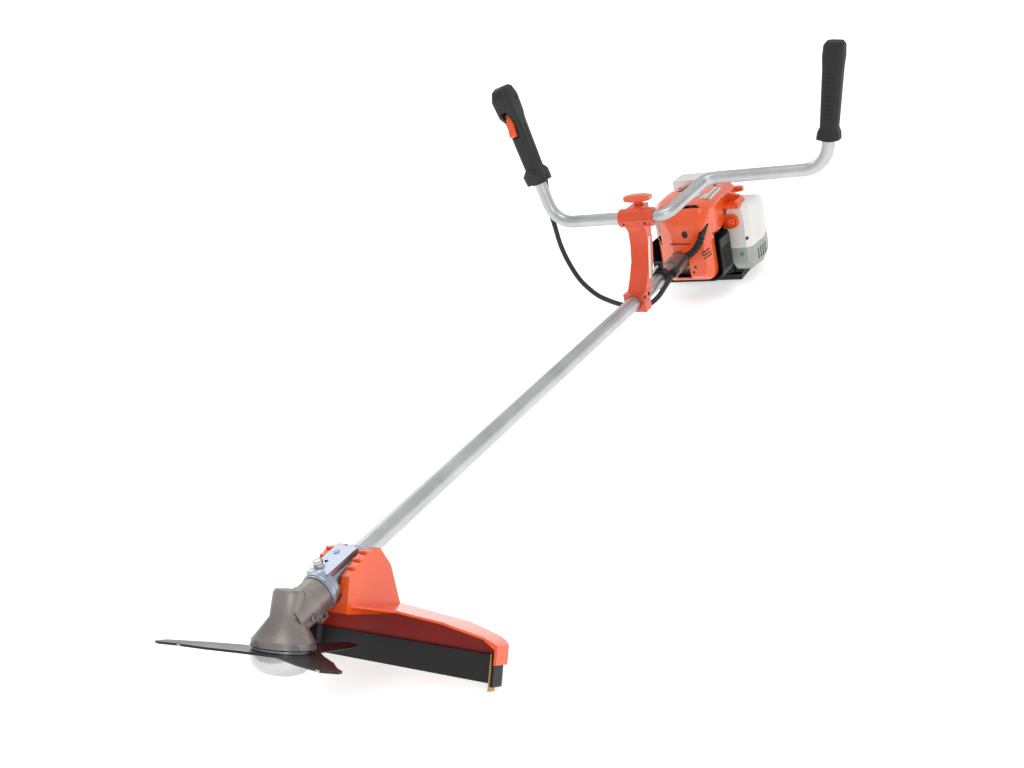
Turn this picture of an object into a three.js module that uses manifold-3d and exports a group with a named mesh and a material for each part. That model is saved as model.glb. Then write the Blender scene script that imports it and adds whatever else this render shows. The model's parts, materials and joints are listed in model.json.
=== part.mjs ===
// A two-handed petrol brush cutter at rest on the ground, in millimetres.
// Row frame: +X from the cutting head to the engine, +Y the operator's right, +Z up.
// The origin is the middle of the engine base plate's flat underside.
import * as THREE from "three";
import { mergeVertices } from "three/addons/utils/BufferGeometryUtils.js";
import Module from "manifold-3d";

const wasm = await Module();
wasm.setup();

// ---- Driving sizes --------------------------------------------------------------------------
const GAP = 0.3; // running or seating gap between neighbours
const HEAD_ANGLE = THREE.MathUtils.degToRad(33.26); // blade plane against the shaft
const HEAD_DROP = 35; // from the meeting point of the two axes down to the blade

const TUBE_R = 14;
const TUBE_WALL = 1.5;
const TUBE_START = 48.3;
const TUBE_END = 1286;
const DRIVE_R = 4; // solid drive shaft inside the tube

const BLADE_R = 150;
const BLADE_T = 3;
const BLADE_ARMS = 3;
const BLADE_BORE_R = 12.7;
const BLADE_PHASE = THREE.MathUtils.degToRad(7.6);
const GEAR_TEETH = 19;
const PINION_TEETH = 14;
const GEAR_PITCH_R = 14.2;
const GEAR_TOE = 17; // distance of the teeth's small end from the cone's apex
const OUTPUT_R = 7.5;
const HOUSING_BAND_R = 38.7;
const CUP_R = 37.5;
const CUP_DEPTH = 25;
const NECK_R = 25;
const NECK_END = 60;

const GUARD_CLEARANCE = 33; // from the blade's tips to the guard's rear wall
const GUARD_WALL = 3;
const GUARD_LEFT = 207; // half-widths of the guard, left and right of the shaft
const GUARD_RIGHT = 104;
const SKIRT_DEPTH = 23; // how far the skirt hangs below the blade's plane

const BAR_R = 12;
const BAR_WALL = 2;
const CLAMP_X = 1119.3;
const CLAMP_Z = 148.6;
const CLAMP_RIGHT = 31; // ends of the bar clamp, right and left of the shaft
const CLAMP_LEFT = 39;
const BAR_BEND = 48; // bend radii of the bar, at its arms and beside the clamp
const CLAMP_BEND = 30;
const FOOT_X = 1066;
const GRIP_LENGTH = 172;
const GRIP_R = 17;
const LEFT_LEAN = THREE.MathUtils.degToRad(9.5);
const RIGHT_LEAN = THREE.MathUtils.degToRad(11.7);
const RIGHT_ARM = 176; // where the bar turns up, right and left of the shaft
const LEFT_ARM = 339;

const CABLE_R = 5;
const RING_X = 1185; // the harness clamp, which also holds the cable
const RING_EYE_Z = TUBE_R + 14;
const RING_WIRE_R = 3;
const RING_LOOP_R = 22;
const RING_CLEARANCE = 0.43; // between the hanging ring's wire and the tube
// From straight up to hanging on the right, just clear of the tube.
const RING_HANG = Math.PI - Math.asin((TUBE_R + RING_WIRE_R + RING_CLEARANCE) / RING_EYE_Z);
const CABLE_AT_CLAMP = { y: -31, z: 12 };

const CRANK_X = TUBE_END + 129; // middle of the crankcase and cylinder
const STROKE = 30;
const BORE_R = 20;
const DRUM_R = 34;
const FLYWHEEL_R = 52;
const PULLEY_R = 36;
const ROPE_R = 1.8;
const TANK = { x0: CRANK_X + 15, x1: CRANK_X + 181, y0: -78, y1: 96, z0: -84, z1: -56 };
const BASE_X = CRANK_X + 97;
const BASE_Y = 8;
const BASE_Z = TANK.z0 - 10; // the base plate's underside below the shaft's axis, at BASE_X
const GUARD_BACK = BLADE_R + GUARD_CLEARANCE;

// ---- Small tools ----------------------------------------------------------------------------
const { cos, sin, tan, atan, PI, max, min } = Math;
const V = (x, y, z) => new THREE.Vector3(x, y, z);
const unit = (a) => new THREE.Vector2(cos(a), sin(a));

function solidOf(geometry) {
  const bare = geometry.clone();
  bare.deleteAttribute("normal");
  bare.deleteAttribute("uv");
  const merged = mergeVertices(bare, 1e-4);
  return new wasm.Manifold(
    new wasm.Mesh({
      numProp: 3,
      vertProperties: merged.attributes.position.array,
      triVerts: new Uint32Array(merged.index.array),
    }),
  );
}

function geometryOf(body) {
  const mesh = body.getMesh();
  const out = new THREE.BufferGeometry();
  out.setAttribute("position", new THREE.BufferAttribute(mesh.vertProperties, 3));
  out.setIndex(new THREE.BufferAttribute(mesh.triVerts, 1));
  return out;
}

function join(...pieces) {
  return geometryOf(pieces.map(solidOf).reduce((a, b) => a.add(b)));
}

function cut(piece, ...tools) {
  return geometryOf(tools.map(solidOf).reduce((a, b) => a.subtract(b), solidOf(piece)));
}

function common(a, b) {
  return geometryOf(solidOf(a).intersect(solidOf(b)));
}

function box(x0, x1, y0, y1, z0, z1) {
  const g = new THREE.BoxGeometry(x1 - x0, y1 - y0, z1 - z0);
  return g.translate((x0 + x1) / 2, (y0 + y1) / 2, (z0 + z1) / 2);
}

function rod(axis, radius, from, to, sides = 20) {
  const g = new THREE.CylinderGeometry(radius, radius, to - from, sides);
  if (axis === "x") g.rotateZ(-PI / 2).translate((from + to) / 2, 0, 0);
  if (axis === "y") g.translate(0, (from + to) / 2, 0);
  if (axis === "z") g.rotateX(PI / 2).translate(0, 0, (from + to) / 2);
  return g;
}

// A closed or axis-to-axis profile of [radius, height], turned about Z.
function turned(profile, sides = 24) {
  const area = profile.reduce((sum, [r, h], i) => {
    const [r2, h2] = profile[(i + 1) % profile.length];
    return sum + r * h2 - r2 * h;
  }, 0);
  const ordered = area > 0 ? profile : [...profile].reverse();
  const points = ordered.map(([r, h]) => new THREE.Vector2(r, h));
  if (ordered.every(([r]) => r > 0)) points.push(points[0].clone());
  return new THREE.LatheGeometry(points, sides).rotateX(PI / 2);
}

const turnedX = (profile, sides) => turned(profile, sides).rotateY(PI / 2);
const ring = (inner, outer, from, to, sides) =>
  turned([[inner, from], [outer, from], [outer, to], [inner, to]], sides);
const ringX = (inner, outer, from, to, sides) => ring(inner, outer, from, to, sides).rotateY(PI / 2);

const outline = (points) => new THREE.Shape(points.map(([x, y]) => new THREE.Vector2(x, y)));

function prism(shape, from, to, curveSegments = 6) {
  const g = new THREE.ExtrudeGeometry(shape, { depth: to - from, bevelEnabled: false, curveSegments });
  return g.translate(0, 0, from);
}

// An outline drawn in (X, Z) and carried along Y, or drawn in (Y, Z) and carried along X.
const prismY = (points, y0, y1) => prism(outline(points), -y1, -y0).rotateX(PI / 2);
const prismX = (points, x0, x1) => prism(outline(points), x0, x1).rotateX(PI / 2).rotateZ(PI / 2);

function roundedRect(halfW, halfH, r) {
  const s = new THREE.Shape();
  s.absarc(halfW - r, halfH - r, r, 0, PI / 2);
  s.absarc(r - halfW, halfH - r, r, PI / 2, PI);
  s.absarc(r - halfW, r - halfH, r, PI, 1.5 * PI);
  s.absarc(halfW - r, r - halfH, r, 1.5 * PI, 2 * PI);
  s.closePath();
  return s;
}

// An outline carried along X through stations of {x, y, z, w, h}: its middle and its scale there.
function loft(shape, stations, curveSegments = 3) {
  const last = stations.length - 1;
  const g = new THREE.ExtrudeGeometry(shape, { depth: 1, steps: last, bevelEnabled: false, curveSegments });
  const p = g.attributes.position;
  for (let i = 0; i < p.count; i += 1) {
    const s = stations[Math.round(p.getZ(i) * last)];
    p.setXYZ(i, s.x, (s.y ?? 0) + p.getX(i) * s.w, (s.z ?? 0) + p.getY(i) * s.h);
  }
  return g;
}

// A route that keeps exactly the stations it is given, so straights take one step.
class Route extends THREE.Curve {
  constructor(points) {
    super();
    this.points = points;
  }
  getPoint(t) {
    const at = t * (this.points.length - 1);
    const i = min(Math.floor(at), this.points.length - 2);
    return this.points[i].clone().lerp(this.points[i + 1], at - i);
  }
  getPointAt(t) {
    return this.getPoint(t);
  }
  getSpacedPoints() {
    return this.points;
  }
  getTangentAt(t) {
    const i = Math.round(t * (this.points.length - 1));
    const after = this.points[min(i + 1, this.points.length - 1)];
    return after.clone().sub(this.points[max(i - 1, 0)]).normalize();
  }
}

// Corner points with round bends, as stations along a bent tube.
function bent(corners, radii, steps = 5) {
  const out = [corners[0]];
  for (let i = 1; i < corners.length - 1; i += 1) {
    const radius = radii[i - 1];
    const back = corners[i - 1].clone().sub(corners[i]).normalize();
    const on = corners[i + 1].clone().sub(corners[i]).normalize();
    const half = back.angleTo(on) / 2;
    const reach = radius / tan(half);
    const centre = corners[i].clone().addScaledVector(back.clone().add(on).normalize(), radius / sin(half));
    const a = corners[i].clone().addScaledVector(back, reach).sub(centre);
    const b = corners[i].clone().addScaledVector(on, reach).sub(centre);
    const turn = a.angleTo(b);
    for (let k = 0; k <= steps; k += 1) {
      const t = (turn * k) / steps;
      const p = a.clone().multiplyScalar(sin(turn - t) / sin(turn));
      out.push(p.addScaledVector(b, sin(t) / sin(turn)).add(centre));
    }
  }
  out.push(corners[corners.length - 1]);
  return out;
}

function roundBar(points, radius, sides) {
  const section = new THREE.Shape().absarc(0, 0, radius, 0, 2 * PI);
  return new THREE.ExtrudeGeometry(section, {
    steps: points.length - 1,
    extrudePath: new Route(points),
    curveSegments: sides / 2,
  });
}

const finish = (color, roughness, metalness) =>
  new THREE.MeshStandardMaterial({ color, roughness, metalness });
const ORANGE = finish(0xe8521e, 0.35, 0);
const BLACK = finish(0x1b1b1c, 0.6, 0);
const WHITE = finish(0xdad8d4, 0.4, 0);
const GREY = finish(0x9aa09a, 0.5, 0);
const ALLOY = finish(0xb9bbbd, 0.35, 0.9);
const CAST = finish(0x8f8b86, 0.55, 0.8);
const STEEL = finish(0x6f7276, 0.4, 0.9);
const DARK_STEEL = finish(0x2e3033, 0.45, 0.8);
const RUBBER = finish(0x151515, 0.85, 0);

function add(group, name, geometry, material) {
  const mesh = new THREE.Mesh(geometry, material);
  mesh.name = name;
  group.add(mesh);
  return mesh;
}

// ---- Groups ---------------------------------------------------------------------------------
// row: the part. shaft: X along the shaft from the meeting point of the two axes.
// head: the blade's own frame, +Z along its axis, at the blade's middle.
const row = new THREE.Group();
const shaft = new THREE.Group();
const head = new THREE.Group();
row.add(shaft);
shaft.add(head);
head.rotation.y = HEAD_ANGLE;
head.position.set(-HEAD_DROP * sin(HEAD_ANGLE), 0, -HEAD_DROP * cos(HEAD_ANGLE));

// Lying down, the part rests on the base plate and on the skirt's rear lower edge.
const skirtEdge = V(GUARD_BACK - GUARD_WALL - GAP, 0, -SKIRT_DEPTH).applyAxisAngle(V(0, 1, 0), HEAD_ANGLE);
skirtEdge.add(head.position);
const TILT = atan((BASE_Z - skirtEdge.z + 0.2) / (BASE_X - skirtEdge.x));
shaft.rotation.y = TILT;
const foot = V(BASE_X, BASE_Y, BASE_Z).applyAxisAngle(V(0, 1, 0), TILT);
shaft.position.copy(foot).negate();

// Geometry drawn in the shaft's frame, moved into the head's.
const intoHead = (geometry) => geometry.rotateY(-HEAD_ANGLE).translate(0, 0, HEAD_DROP);

// ---- Gear head ------------------------------------------------------------------------------
const SHAFT_ANGLE = PI / 2 - HEAD_ANGLE; // between the two gears' axes
const RATIO = GEAR_TEETH / PINION_TEETH;
const PINION_CONE = atan(sin(SHAFT_ANGLE) / (RATIO + cos(SHAFT_ANGLE)));
const GEAR_CONE = SHAFT_ANGLE - PINION_CONE;
const TOOTH = (2 * GEAR_PITCH_R) / GEAR_TEETH; // module
const BAND_Z = BLADE_T / 2 + 4.5;
const CAP_TOP = HEAD_DROP + 38.7;
const UPPER_BUSH = { r: OUTPUT_R - 2, z0: CAP_TOP - 13.7, z1: CAP_TOP - 5.7 };
const LOWER_BEARING = { r: 17.5, z0: BAND_Z + 6, z1: BAND_Z + 16 };
const PINION_BEARING = { r: 16, x0: 33, x1: 43 };

function gearheadHousing() {
  const shell = turned([
    [0, BAND_Z], [HOUSING_BAND_R, BAND_Z], [HOUSING_BAND_R, BAND_Z + 8], [HOUSING_BAND_R - 1, BAND_Z + 9],
    [20.5, HEAD_DROP + 6], [19.6, CAP_TOP - 4], [17, CAP_TOP], [0, CAP_TOP],
  ]);
  const neck = intoHead(turnedX([
    [0, 0], [NECK_R, 0], [NECK_R, 38], [NECK_R - 2, 40], [NECK_R - 2, NECK_END], [0, NECK_END],
  ]));
  const lug = intoHead(box(46, NECK_END, -8, 8, -NECK_R - 8, -16));
  const inside = turned([
    [0, BAND_Z - 1], [LOWER_BEARING.r + GAP, BAND_Z - 1], [LOWER_BEARING.r + GAP, LOWER_BEARING.z1 + GAP],
    [16.8, LOWER_BEARING.z1 + 1], [16.8, UPPER_BUSH.z0 - 1], [UPPER_BUSH.r + GAP, UPPER_BUSH.z0 - 1],
    [UPPER_BUSH.r + GAP, UPPER_BUSH.z1 + GAP], [0, UPPER_BUSH.z1 + GAP],
  ]);
  const bore = intoHead(turnedX([
    [0, 4], [PINION_BEARING.r + GAP, 4], [PINION_BEARING.r + GAP, 44], [12, 44], [12, TUBE_START - GAP],
    [TUBE_R + GAP, TUBE_START - GAP], [TUBE_R + GAP, NECK_END + 1], [0, NECK_END + 1],
  ]));
  const screwHole = intoHead(rod("y", 2.8, -20, 20).translate(53, 0, -NECK_R - 2.5));
  const split = intoHead(box(44, NECK_END + 1, -1, 1, -40, -TUBE_R + 1));
  return cut(join(shell, neck, lug), inside, bore, screwHole, split);
}

// A bevel gear about X: trapezoid teeth, tapering towards the apex at X = 0.
function bevelGear(teeth, pitchR, cone, phase, boreR) {
  const step = (2 * PI) / teeth;
  const heel = pitchR / tan(cone);
  const toe = (heel * GEAR_TOE) / (pitchR / sin(cone));
  const rootR = pitchR - TOOTH * 1.15;
  const tipR = pitchR + TOOTH * 0.75;
  const shape = new THREE.Shape();
  const corners = [[-0.26, rootR], [-0.1, tipR], [0.1, tipR], [0.26, rootR]];
  for (let k = 0; k < teeth; k += 1) {
    corners.forEach(([part, r], i) => {
      const p = unit(phase + step * (k + part)).multiplyScalar(r);
      if (k + i === 0) shape.moveTo(p.x, p.y);
      else shape.lineTo(p.x, p.y);
    });
  }
  shape.closePath();
  const body = loft(shape, [{ x: toe, w: toe / heel, h: toe / heel }, { x: heel, w: 1, h: 1 }]);
  return cut(body, rod("x", boreR, toe - 1, heel + 1, 16));
}

function buildHead() {
  add(head, "gearhead_housing", gearheadHousing(), CAST);
  const upper = OUTPUT_R - 2;
  const output = turned([
    [0, -17], [4.9, -17], [4.9, 0.5], [6, 0.5], [6, BAND_Z + 3.3], [OUTPUT_R, BAND_Z + 3.3],
    [OUTPUT_R, HEAD_DROP + 13], [upper, HEAD_DROP + 13], [upper, UPPER_BUSH.z1], [0, UPPER_BUSH.z1],
  ], 20);
  add(head, "output_shaft", output, STEEL);
  const gear = bevelGear(GEAR_TEETH, GEAR_PITCH_R, GEAR_CONE, PI / GEAR_TEETH - PI / 2, upper + GAP);
  add(head, "bevel_gear", gear.rotateY(-PI / 2).translate(0, 0, HEAD_DROP), STEEL);
  const pinionR = GEAR_PITCH_R / RATIO;
  const pinionHeel = pinionR / tan(PINION_CONE);
  const teeth = bevelGear(PINION_TEETH, pinionR, PINION_CONE, PI / 2, 3);
  const stub = turnedX([
    [2.5, 15.8], [6, pinionHeel - 0.5], [6, 45], [DRIVE_R + GAP, 45], [DRIVE_R + GAP, 31], [2.5, 31],
  ], 20);
  add(shaft, "drive_pinion", join(teeth, stub), STEEL);
  const bearing = (inner, b, from, to) => ring(inner + GAP, b.r, from, to, 20);
  add(head, "output_bearing", bearing(OUTPUT_R, LOWER_BEARING, LOWER_BEARING.z0, LOWER_BEARING.z1), STEEL);
  const front = bearing(6, PINION_BEARING, PINION_BEARING.x0, PINION_BEARING.x1).rotateY(PI / 2);
  add(shaft, "pinion_bearing", front, STEEL);
}

// ---- Cutting blade and what holds it --------------------------------------------------------
function bladeShape() {
  // One arm of the knife along +X, from the hub round to the next arm's start.
  const arm = [[38, -27], [BLADE_R * 0.62, -27], [BLADE_R * 0.93, -20], [BLADE_R, -3], [BLADE_R * 0.97, 4],
    [BLADE_R * 0.84, 8], [BLADE_R * 0.6, 22], [44, 33]];
  const shape = new THREE.Shape();
  for (let k = 0; k < BLADE_ARMS; k += 1) {
    const turn = BLADE_PHASE + (k * 2 * PI) / BLADE_ARMS;
    arm.forEach(([x, y], i) => {
      const p = new THREE.Vector2(x, y).rotateAround(new THREE.Vector2(), turn);
      if (k + i === 0) shape.moveTo(p.x, p.y);
      else shape.lineTo(p.x, p.y);
    });
  }
  shape.closePath();
  shape.holes.push(new THREE.Path().absarc(0, 0, BLADE_BORE_R, 0, 2 * PI));
  return shape;
}

function buildBlade() {
  const half = BLADE_T / 2;
  add(head, "cutting_blade", prism(bladeShape(), -half, half, 12), DARK_STEEL);
  const pilot = BLADE_BORE_R - GAP;
  add(head, "thrust_plate", turned([
    [6 + GAP, -half + 0.2], [pilot, -half + 0.2], [pilot, half + GAP], [CUP_R, half + GAP],
    [CUP_R, BAND_Z - 1], [15, BAND_Z - 1], [15, BAND_Z + 3], [6 + GAP, BAND_Z + 3],
  ]), STEEL);
  const top = -half - GAP;
  const low = top - CUP_DEPTH;
  add(head, "rider_cup", turned([
    [6 + GAP, top], [CUP_R, top], [CUP_R, top - 6], [CUP_R - 2.5, top - 14], [CUP_R - 9.5, low + 4],
    [17, low], [17, low + 2], [CUP_R - 11, low + 6], [CUP_R - 5, top - 13], [CUP_R - 2.5, top - 6],
    [CUP_R - 3, top - 3], [6 + GAP, top - 3],
  ]), ALLOY);
  const nut = cut(
    join(rod("z", 9.8, top - 12, top - 5, 6), rod("z", 12, top - 5, top - 3 - GAP, 24)),
    rod("z", 4.9 + GAP, top - 14, top, 20),
  );
  add(head, "blade_nut", nut, STEEL);
}

// ---- Guard ----------------------------------------------------------------------------------
const ROOF = { mid: 58, left: 25, right: 40 }; // roof heights above the blade, middle and ends
const WALL_FOOT = 4;

// The guard's outline from above, pulled in by t, and its outline from the front.
function guardPlan(t, reach) {
  const front = (x) => x - reach;
  return [
    [front(70), -28 + t], [front(118), -73 + t], [front(127), -150 + t], [front(150), -GUARD_LEFT + t],
    [GUARD_BACK - 6 - t, -GUARD_LEFT + t], [GUARD_BACK - t, -GUARD_LEFT + 8 + t],
    [GUARD_BACK - t, GUARD_RIGHT - 6 - t],
    [GUARD_BACK - 6 - t, GUARD_RIGHT - t], [front(138), GUARD_RIGHT - t], [front(112), 62 - t],
    [front(70), 28 - t],
  ];
}

function guardFace(t, low) {
  return [
    [-GUARD_LEFT + t - 5 * (t === 0), low], [GUARD_RIGHT - t + 5 * (t === 0), low],
    [GUARD_RIGHT - t + 5 * (t === 0), ROOF.right - t],
    [GUARD_RIGHT - 30, ROOF.mid - 4 - t], [40, ROOF.mid - t],
    [-30, ROOF.mid - t], [-142, ROOF.mid - 10 - t], [-190, ROOF.mid - 22 - t],
    [-GUARD_LEFT + t - 5 * (t === 0), ROOF.left - t],
  ];
}

function guardShield() {
  const skin = (t, reach, low) => common(
    prism(outline(guardPlan(t, reach)), low, 90),
    prismX(guardFace(t, low), 20 - reach, 260),
  );
  const shell = cut(skin(0, 0, WALL_FOOT), skin(GUARD_WALL, 40, WALL_FOOT - 10));
  const saddle = prismY([[70, ROOF.mid - 12], [68, 92], [100, 124],
    [124, 129], [150, 108], [180, ROOF.mid - 3],
    [176, ROOF.mid - 14]], -34, 34);
  const slot = intoHead(join(rod("x", BRACKET_R + GAP, 40, 260, 24), box(40, 260, -21, 21, 0, 60)));
  const neckRoom = intoHead(rod("x", NECK_R + 1, 20, NECK_END + 17, 24));
  const hollow = prismY([[60, 30], [76, ROOF.mid - 2], [96, 72], [130, 82],
    [172, ROOF.mid - 10], [176, 30]], -28, 28);
  return cut(join(shell, saddle), hollow, slot, neckRoom);
}

const BRACKET_R = 18;
const SKIRT_T = 3;

function guardSkirt() {
  const t = GUARD_WALL + GAP;
  const back = GUARD_BACK - t;
  const left = -GUARD_LEFT + t;
  const right = GUARD_RIGHT - t;
  const strip = [
    [152, left], [back - 6, left], [back, left + 8], [back, right - 6], [back - 6, right], [150, right],
    [150, right - SKIRT_T], [back - 7, right - SKIRT_T], [back - SKIRT_T, right - 8],
    [back - SKIRT_T, left + 9], [back - 7, left + SKIRT_T], [152, left + SKIRT_T],
  ];
  return prism(outline(strip), -SKIRT_DEPTH, WALL_FOOT + 9);
}

function bracket() {
  const sleeve = rod("x", BRACKET_R, NECK_END + 4, 146, 28);
  const collar = rod("x", NECK_R - 0.5, NECK_END + GAP, NECK_END + 16, 28);
  const plate = box(NECK_END + 12, 136, -15, 20, BRACKET_R - 4, BRACKET_R + 4);
  const bore = rod("x", TUBE_R + GAP, NECK_END - 2, 150, 28);
  const hole = rod("z", 3.3, TUBE_R - 2, 40, 12).translate(98, 8, 0);
  return cut(join(sleeve, collar, plate), bore, hole);
}

function buildGuard() {
  add(head, "guard_shield", guardShield(), ORANGE);
  add(head, "guard_skirt", guardSkirt(), BLACK);
  const y = -GUARD_LEFT + GUARD_WALL + GAP + SKIRT_T + GAP;
  add(head, "line_cutter", box(149, 163, y, y + 1.6, -SKIRT_DEPTH - 5, WALL_FOOT + 13), ALLOY);
  add(shaft, "guard_bracket", bracket(), ALLOY);
}

// ---- Shaft ----------------------------------------------------------------------------------
const DRUM = { x0: TUBE_END + 35, x1: TUBE_END + 57 };

function buildShaft() {
  const tube = ringX(TUBE_R - TUBE_WALL, TUBE_R, TUBE_START, TUBE_END, 28);
  add(shaft, "drive_tube", tube, ALLOY);
  add(shaft, "drive_shaft", rod("x", DRIVE_R, 31 + GAP, DRUM.x0 + 6, 12), STEEL);
  const middle = (TUBE_START + TUBE_END) / 2;
  const bush = ringX(DRIVE_R + GAP, TUBE_R - TUBE_WALL - GAP, middle - 20, middle + 20, 12);
  add(shaft, "shaft_bushing", bush, RUBBER);
}

// ---- Handlebar ------------------------------------------------------------------------------
const lean = (side) => (side > 0 ? RIGHT_LEAN : LEFT_LEAN);
const leanOut = (side) => V(0, side * sin(lean(side)), cos(lean(side)));
const RIGHT_CORNER = V(CLAMP_X, RIGHT_ARM, CLAMP_Z);
const LEFT_CORNER = V(CLAMP_X + 122, -LEFT_ARM, CLAMP_Z + 34);
const GRIP_START = 88; // from the bar's corner up to the grip's lower end
const LEFT_GRIP_START = 55;

function buildHandlebar() {
  const up = (corner, side, far) => corner.clone().addScaledVector(leanOut(side), far);
  const route = (extra) => bent([
    up(RIGHT_CORNER, 1, GRIP_START + GRIP_LENGTH - 30 + extra),
    RIGHT_CORNER,
    V(CLAMP_X, -CLAMP_LEFT - 23, CLAMP_Z),
    V(CLAMP_X + 122, -104, CLAMP_Z + 34),
    LEFT_CORNER,
    up(LEFT_CORNER, -1, LEFT_GRIP_START + GRIP_LENGTH - 12 + extra),
  ], [BAR_BEND, CLAMP_BEND, CLAMP_BEND, BAR_BEND]);
  const bar = cut(roundBar(route(0), BAR_R, 14), roundBar(route(4), BAR_R - BAR_WALL, 8));
  add(shaft, "handlebar_tube", bar, ALLOY);
  buildLeftGrip();
  buildThrottleGrip();
}

// Places a geometry drawn along +X so that X runs up the arm from a corner.
function alongArm(geometry, corner, side) {
  return geometry.rotateY(-PI / 2).rotateX(-side * lean(side)).translate(corner.x, corner.y, corner.z);
}

function gripBody(stations, bore) {
  const body = loft(roundedRect(1, 1, 0.62), stations, 3);
  return cut(body, rod("x", BAR_R + GAP, stations[0].x - 2, bore, 20));
}

function buildLeftGrip() {
  const a = LEFT_GRIP_START;
  const b = a + GRIP_LENGTH;
  const grip = gripBody([
    { x: a, w: 21, h: 20 }, { x: a + 12, w: 20, h: 19 }, { x: a + 22, w: 16, h: 16 },
    { x: b - 46, w: 18, h: 17 },
    { x: b - 26, w: 19, h: 21 }, { x: b - 6, w: 18, h: 20 }, { x: b, w: 14, h: 15 },
  ], b - 10);
  add(shaft, "left_grip", alongArm(grip, LEFT_CORNER, -1), RUBBER);
}

const TRIGGER = { x: 100, length: 46, width: 11 }; // up the arm from the grip's lower end

function buildThrottleGrip() {
  const a = GRIP_START;
  const b = a + GRIP_LENGTH + 26;
  const body = gripBody([
    { x: a, w: 22, h: 24 }, { x: a + 20, w: 22, h: 26, z: 2 }, { x: a + 30, w: 16, h: 17 },
    { x: b - 70, w: 17, h: 19, z: 1 }, { x: b - 56, w: 20, h: 26, z: 6 }, { x: b - 22, w: 21, h: 28, z: 8 },
    { x: b - 5, w: 17, h: 21, z: 6 }, { x: b, w: 11, h: 14, z: 4 },
  ], b - 50);
  const t0 = a + TRIGGER.x - 4;
  const t1 = t0 + TRIGGER.length + 8;
  const half = TRIGGER.width / 2 + 1;
  const pocket = box(t0, t1, -half, half, GRIP_R - 3.5, 60);
  const rearSlot = box(b - 88, b - 46, -5, 5, -60, -GRIP_R + 3.5);
  const buttonWell = rod("z", 7, -60, -13, 16).translate(b - 26, 0, 0);
  const shell = cut(body, pocket, rearSlot, buttonWell);
  add(shaft, "throttle_grip", alongArm(shell, RIGHT_CORNER, 1), BLACK);

  const trigger = prismY([
    [t0 + 4, GRIP_R + 6], [t0 + 4, GRIP_R + 15], [t0 + 8, GRIP_R + 18], [t1 - 5, GRIP_R + 5],
    [t1 - 3, GRIP_R - 1], [t1 - 12, GRIP_R - 2],
  ], -TRIGGER.width / 2, TRIGGER.width / 2);
  add(shaft, "throttle_trigger", alongArm(trigger, RIGHT_CORNER, 1), ORANGE);
  const lockout = prismY([
    [b - 86, -GRIP_R - 7], [b - 60, -GRIP_R - 9], [b - 50, -GRIP_R - 4], [b - 48, -GRIP_R + 2],
    [b - 54, -GRIP_R + 2.5], [b - 86, -GRIP_R - 1.5],
  ], -4, 4);
  add(shaft, "throttle_lockout", alongArm(lockout, RIGHT_CORNER, 1), BLACK);
  const button = join(rod("z", 6, -24, -17.5, 16), rod("z", 5, -26, -24, 16));
  add(shaft, "stop_button", alongArm(button.translate(b - 26, 0, 0), RIGHT_CORNER, 1), ORANGE);
}

// The cast column on the shaft, and the clamp on its top that grips the bar.
function buildSupport() {
  const r = TUBE_R + GAP;
  const shift = CLAMP_X - 4;
  const column = prismY([
    [FOOT_X - 12, 2], [FOOT_X + 20, 2], [FOOT_X + 34, 26], [FOOT_X + 52, 56], [shift + 14, 88],
    [shift + 20, CLAMP_Z - 24], [shift + 18, CLAMP_Z - 1], [shift - 11, CLAMP_Z - 1],
    [shift - 13, CLAMP_Z - 14],
    [shift - 5, CLAMP_Z - 26], [shift - 6, 96], [shift - 14, 66], [FOOT_X + 14, 36], [FOOT_X - 2, 18],
  ], -21, 17);
  const footBlock = box(FOOT_X - 16, FOOT_X + 20, -22, 21, GAP, 17);
  const cradle = rod("y", BAR_R + 6, -CLAMP_LEFT, CLAMP_RIGHT, 24).translate(CLAMP_X, 0, CLAMP_Z);
  const lower = common(cradle, box(CLAMP_X - 40, CLAMP_X + 40, -60, 60, CLAMP_Z - 40, CLAMP_Z - 0.2));
  const barRoom = rod("y", BAR_R + GAP, -90, 90, 24).translate(CLAMP_X, 0, CLAMP_Z);
  const tubeRoom = rod("x", r, FOOT_X - 60, FOOT_X + 80, 28);
  const screwRoom = rod("z", 4.3, CLAMP_Z - 34, CLAMP_Z + 40, 16).translate(CLAMP_X + 22, 0, 0);
  const ear = box(CLAMP_X + 8, CLAMP_X + 32, -14, 14, CLAMP_Z - 14, CLAMP_Z - 0.2);
  const body = cut(join(column, footBlock, lower, ear), barRoom, tubeRoom, screwRoom);
  add(shaft, "handle_support", body, ORANGE);

  const upper = common(cradle, box(CLAMP_X - 40, CLAMP_X + 40, -60, 60, CLAMP_Z + 0.2, CLAMP_Z + 40));
  const lid = box(CLAMP_X - 12, CLAMP_X + 32, -16, 16, CLAMP_Z + 0.2, CLAMP_Z + BAR_R + 8);
  add(shaft, "handle_clamp_cap", cut(join(upper, lid), barRoom, screwRoom), ORANGE);

  const saddle = box(FOOT_X - 16, FOOT_X + 13, -22, 21, -TUBE_R - 6, -GAP);
  add(shaft, "support_foot_cap", cut(saddle, tubeRoom), ORANGE);

  const knobZ = CLAMP_Z + BAR_R + 8 + GAP;
  const stem = rod("z", 4, CLAMP_Z - 20, knobZ + 1, 16);
  const hub = rod("z", 8, knobZ, knobZ + 9, 16);
  const wings = prismX([[-27, 8], [-10, 5], [10, 5], [27, 8], [27, 17],
    [12, 19], [-12, 19], [-27, 16]], -8, 8);
  wings.translate(0, 0, knobZ);
  add(shaft, "wing_screw", join(stem, hub, wings).translate(CLAMP_X + 22, 0, 0), ORANGE);
}

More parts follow.
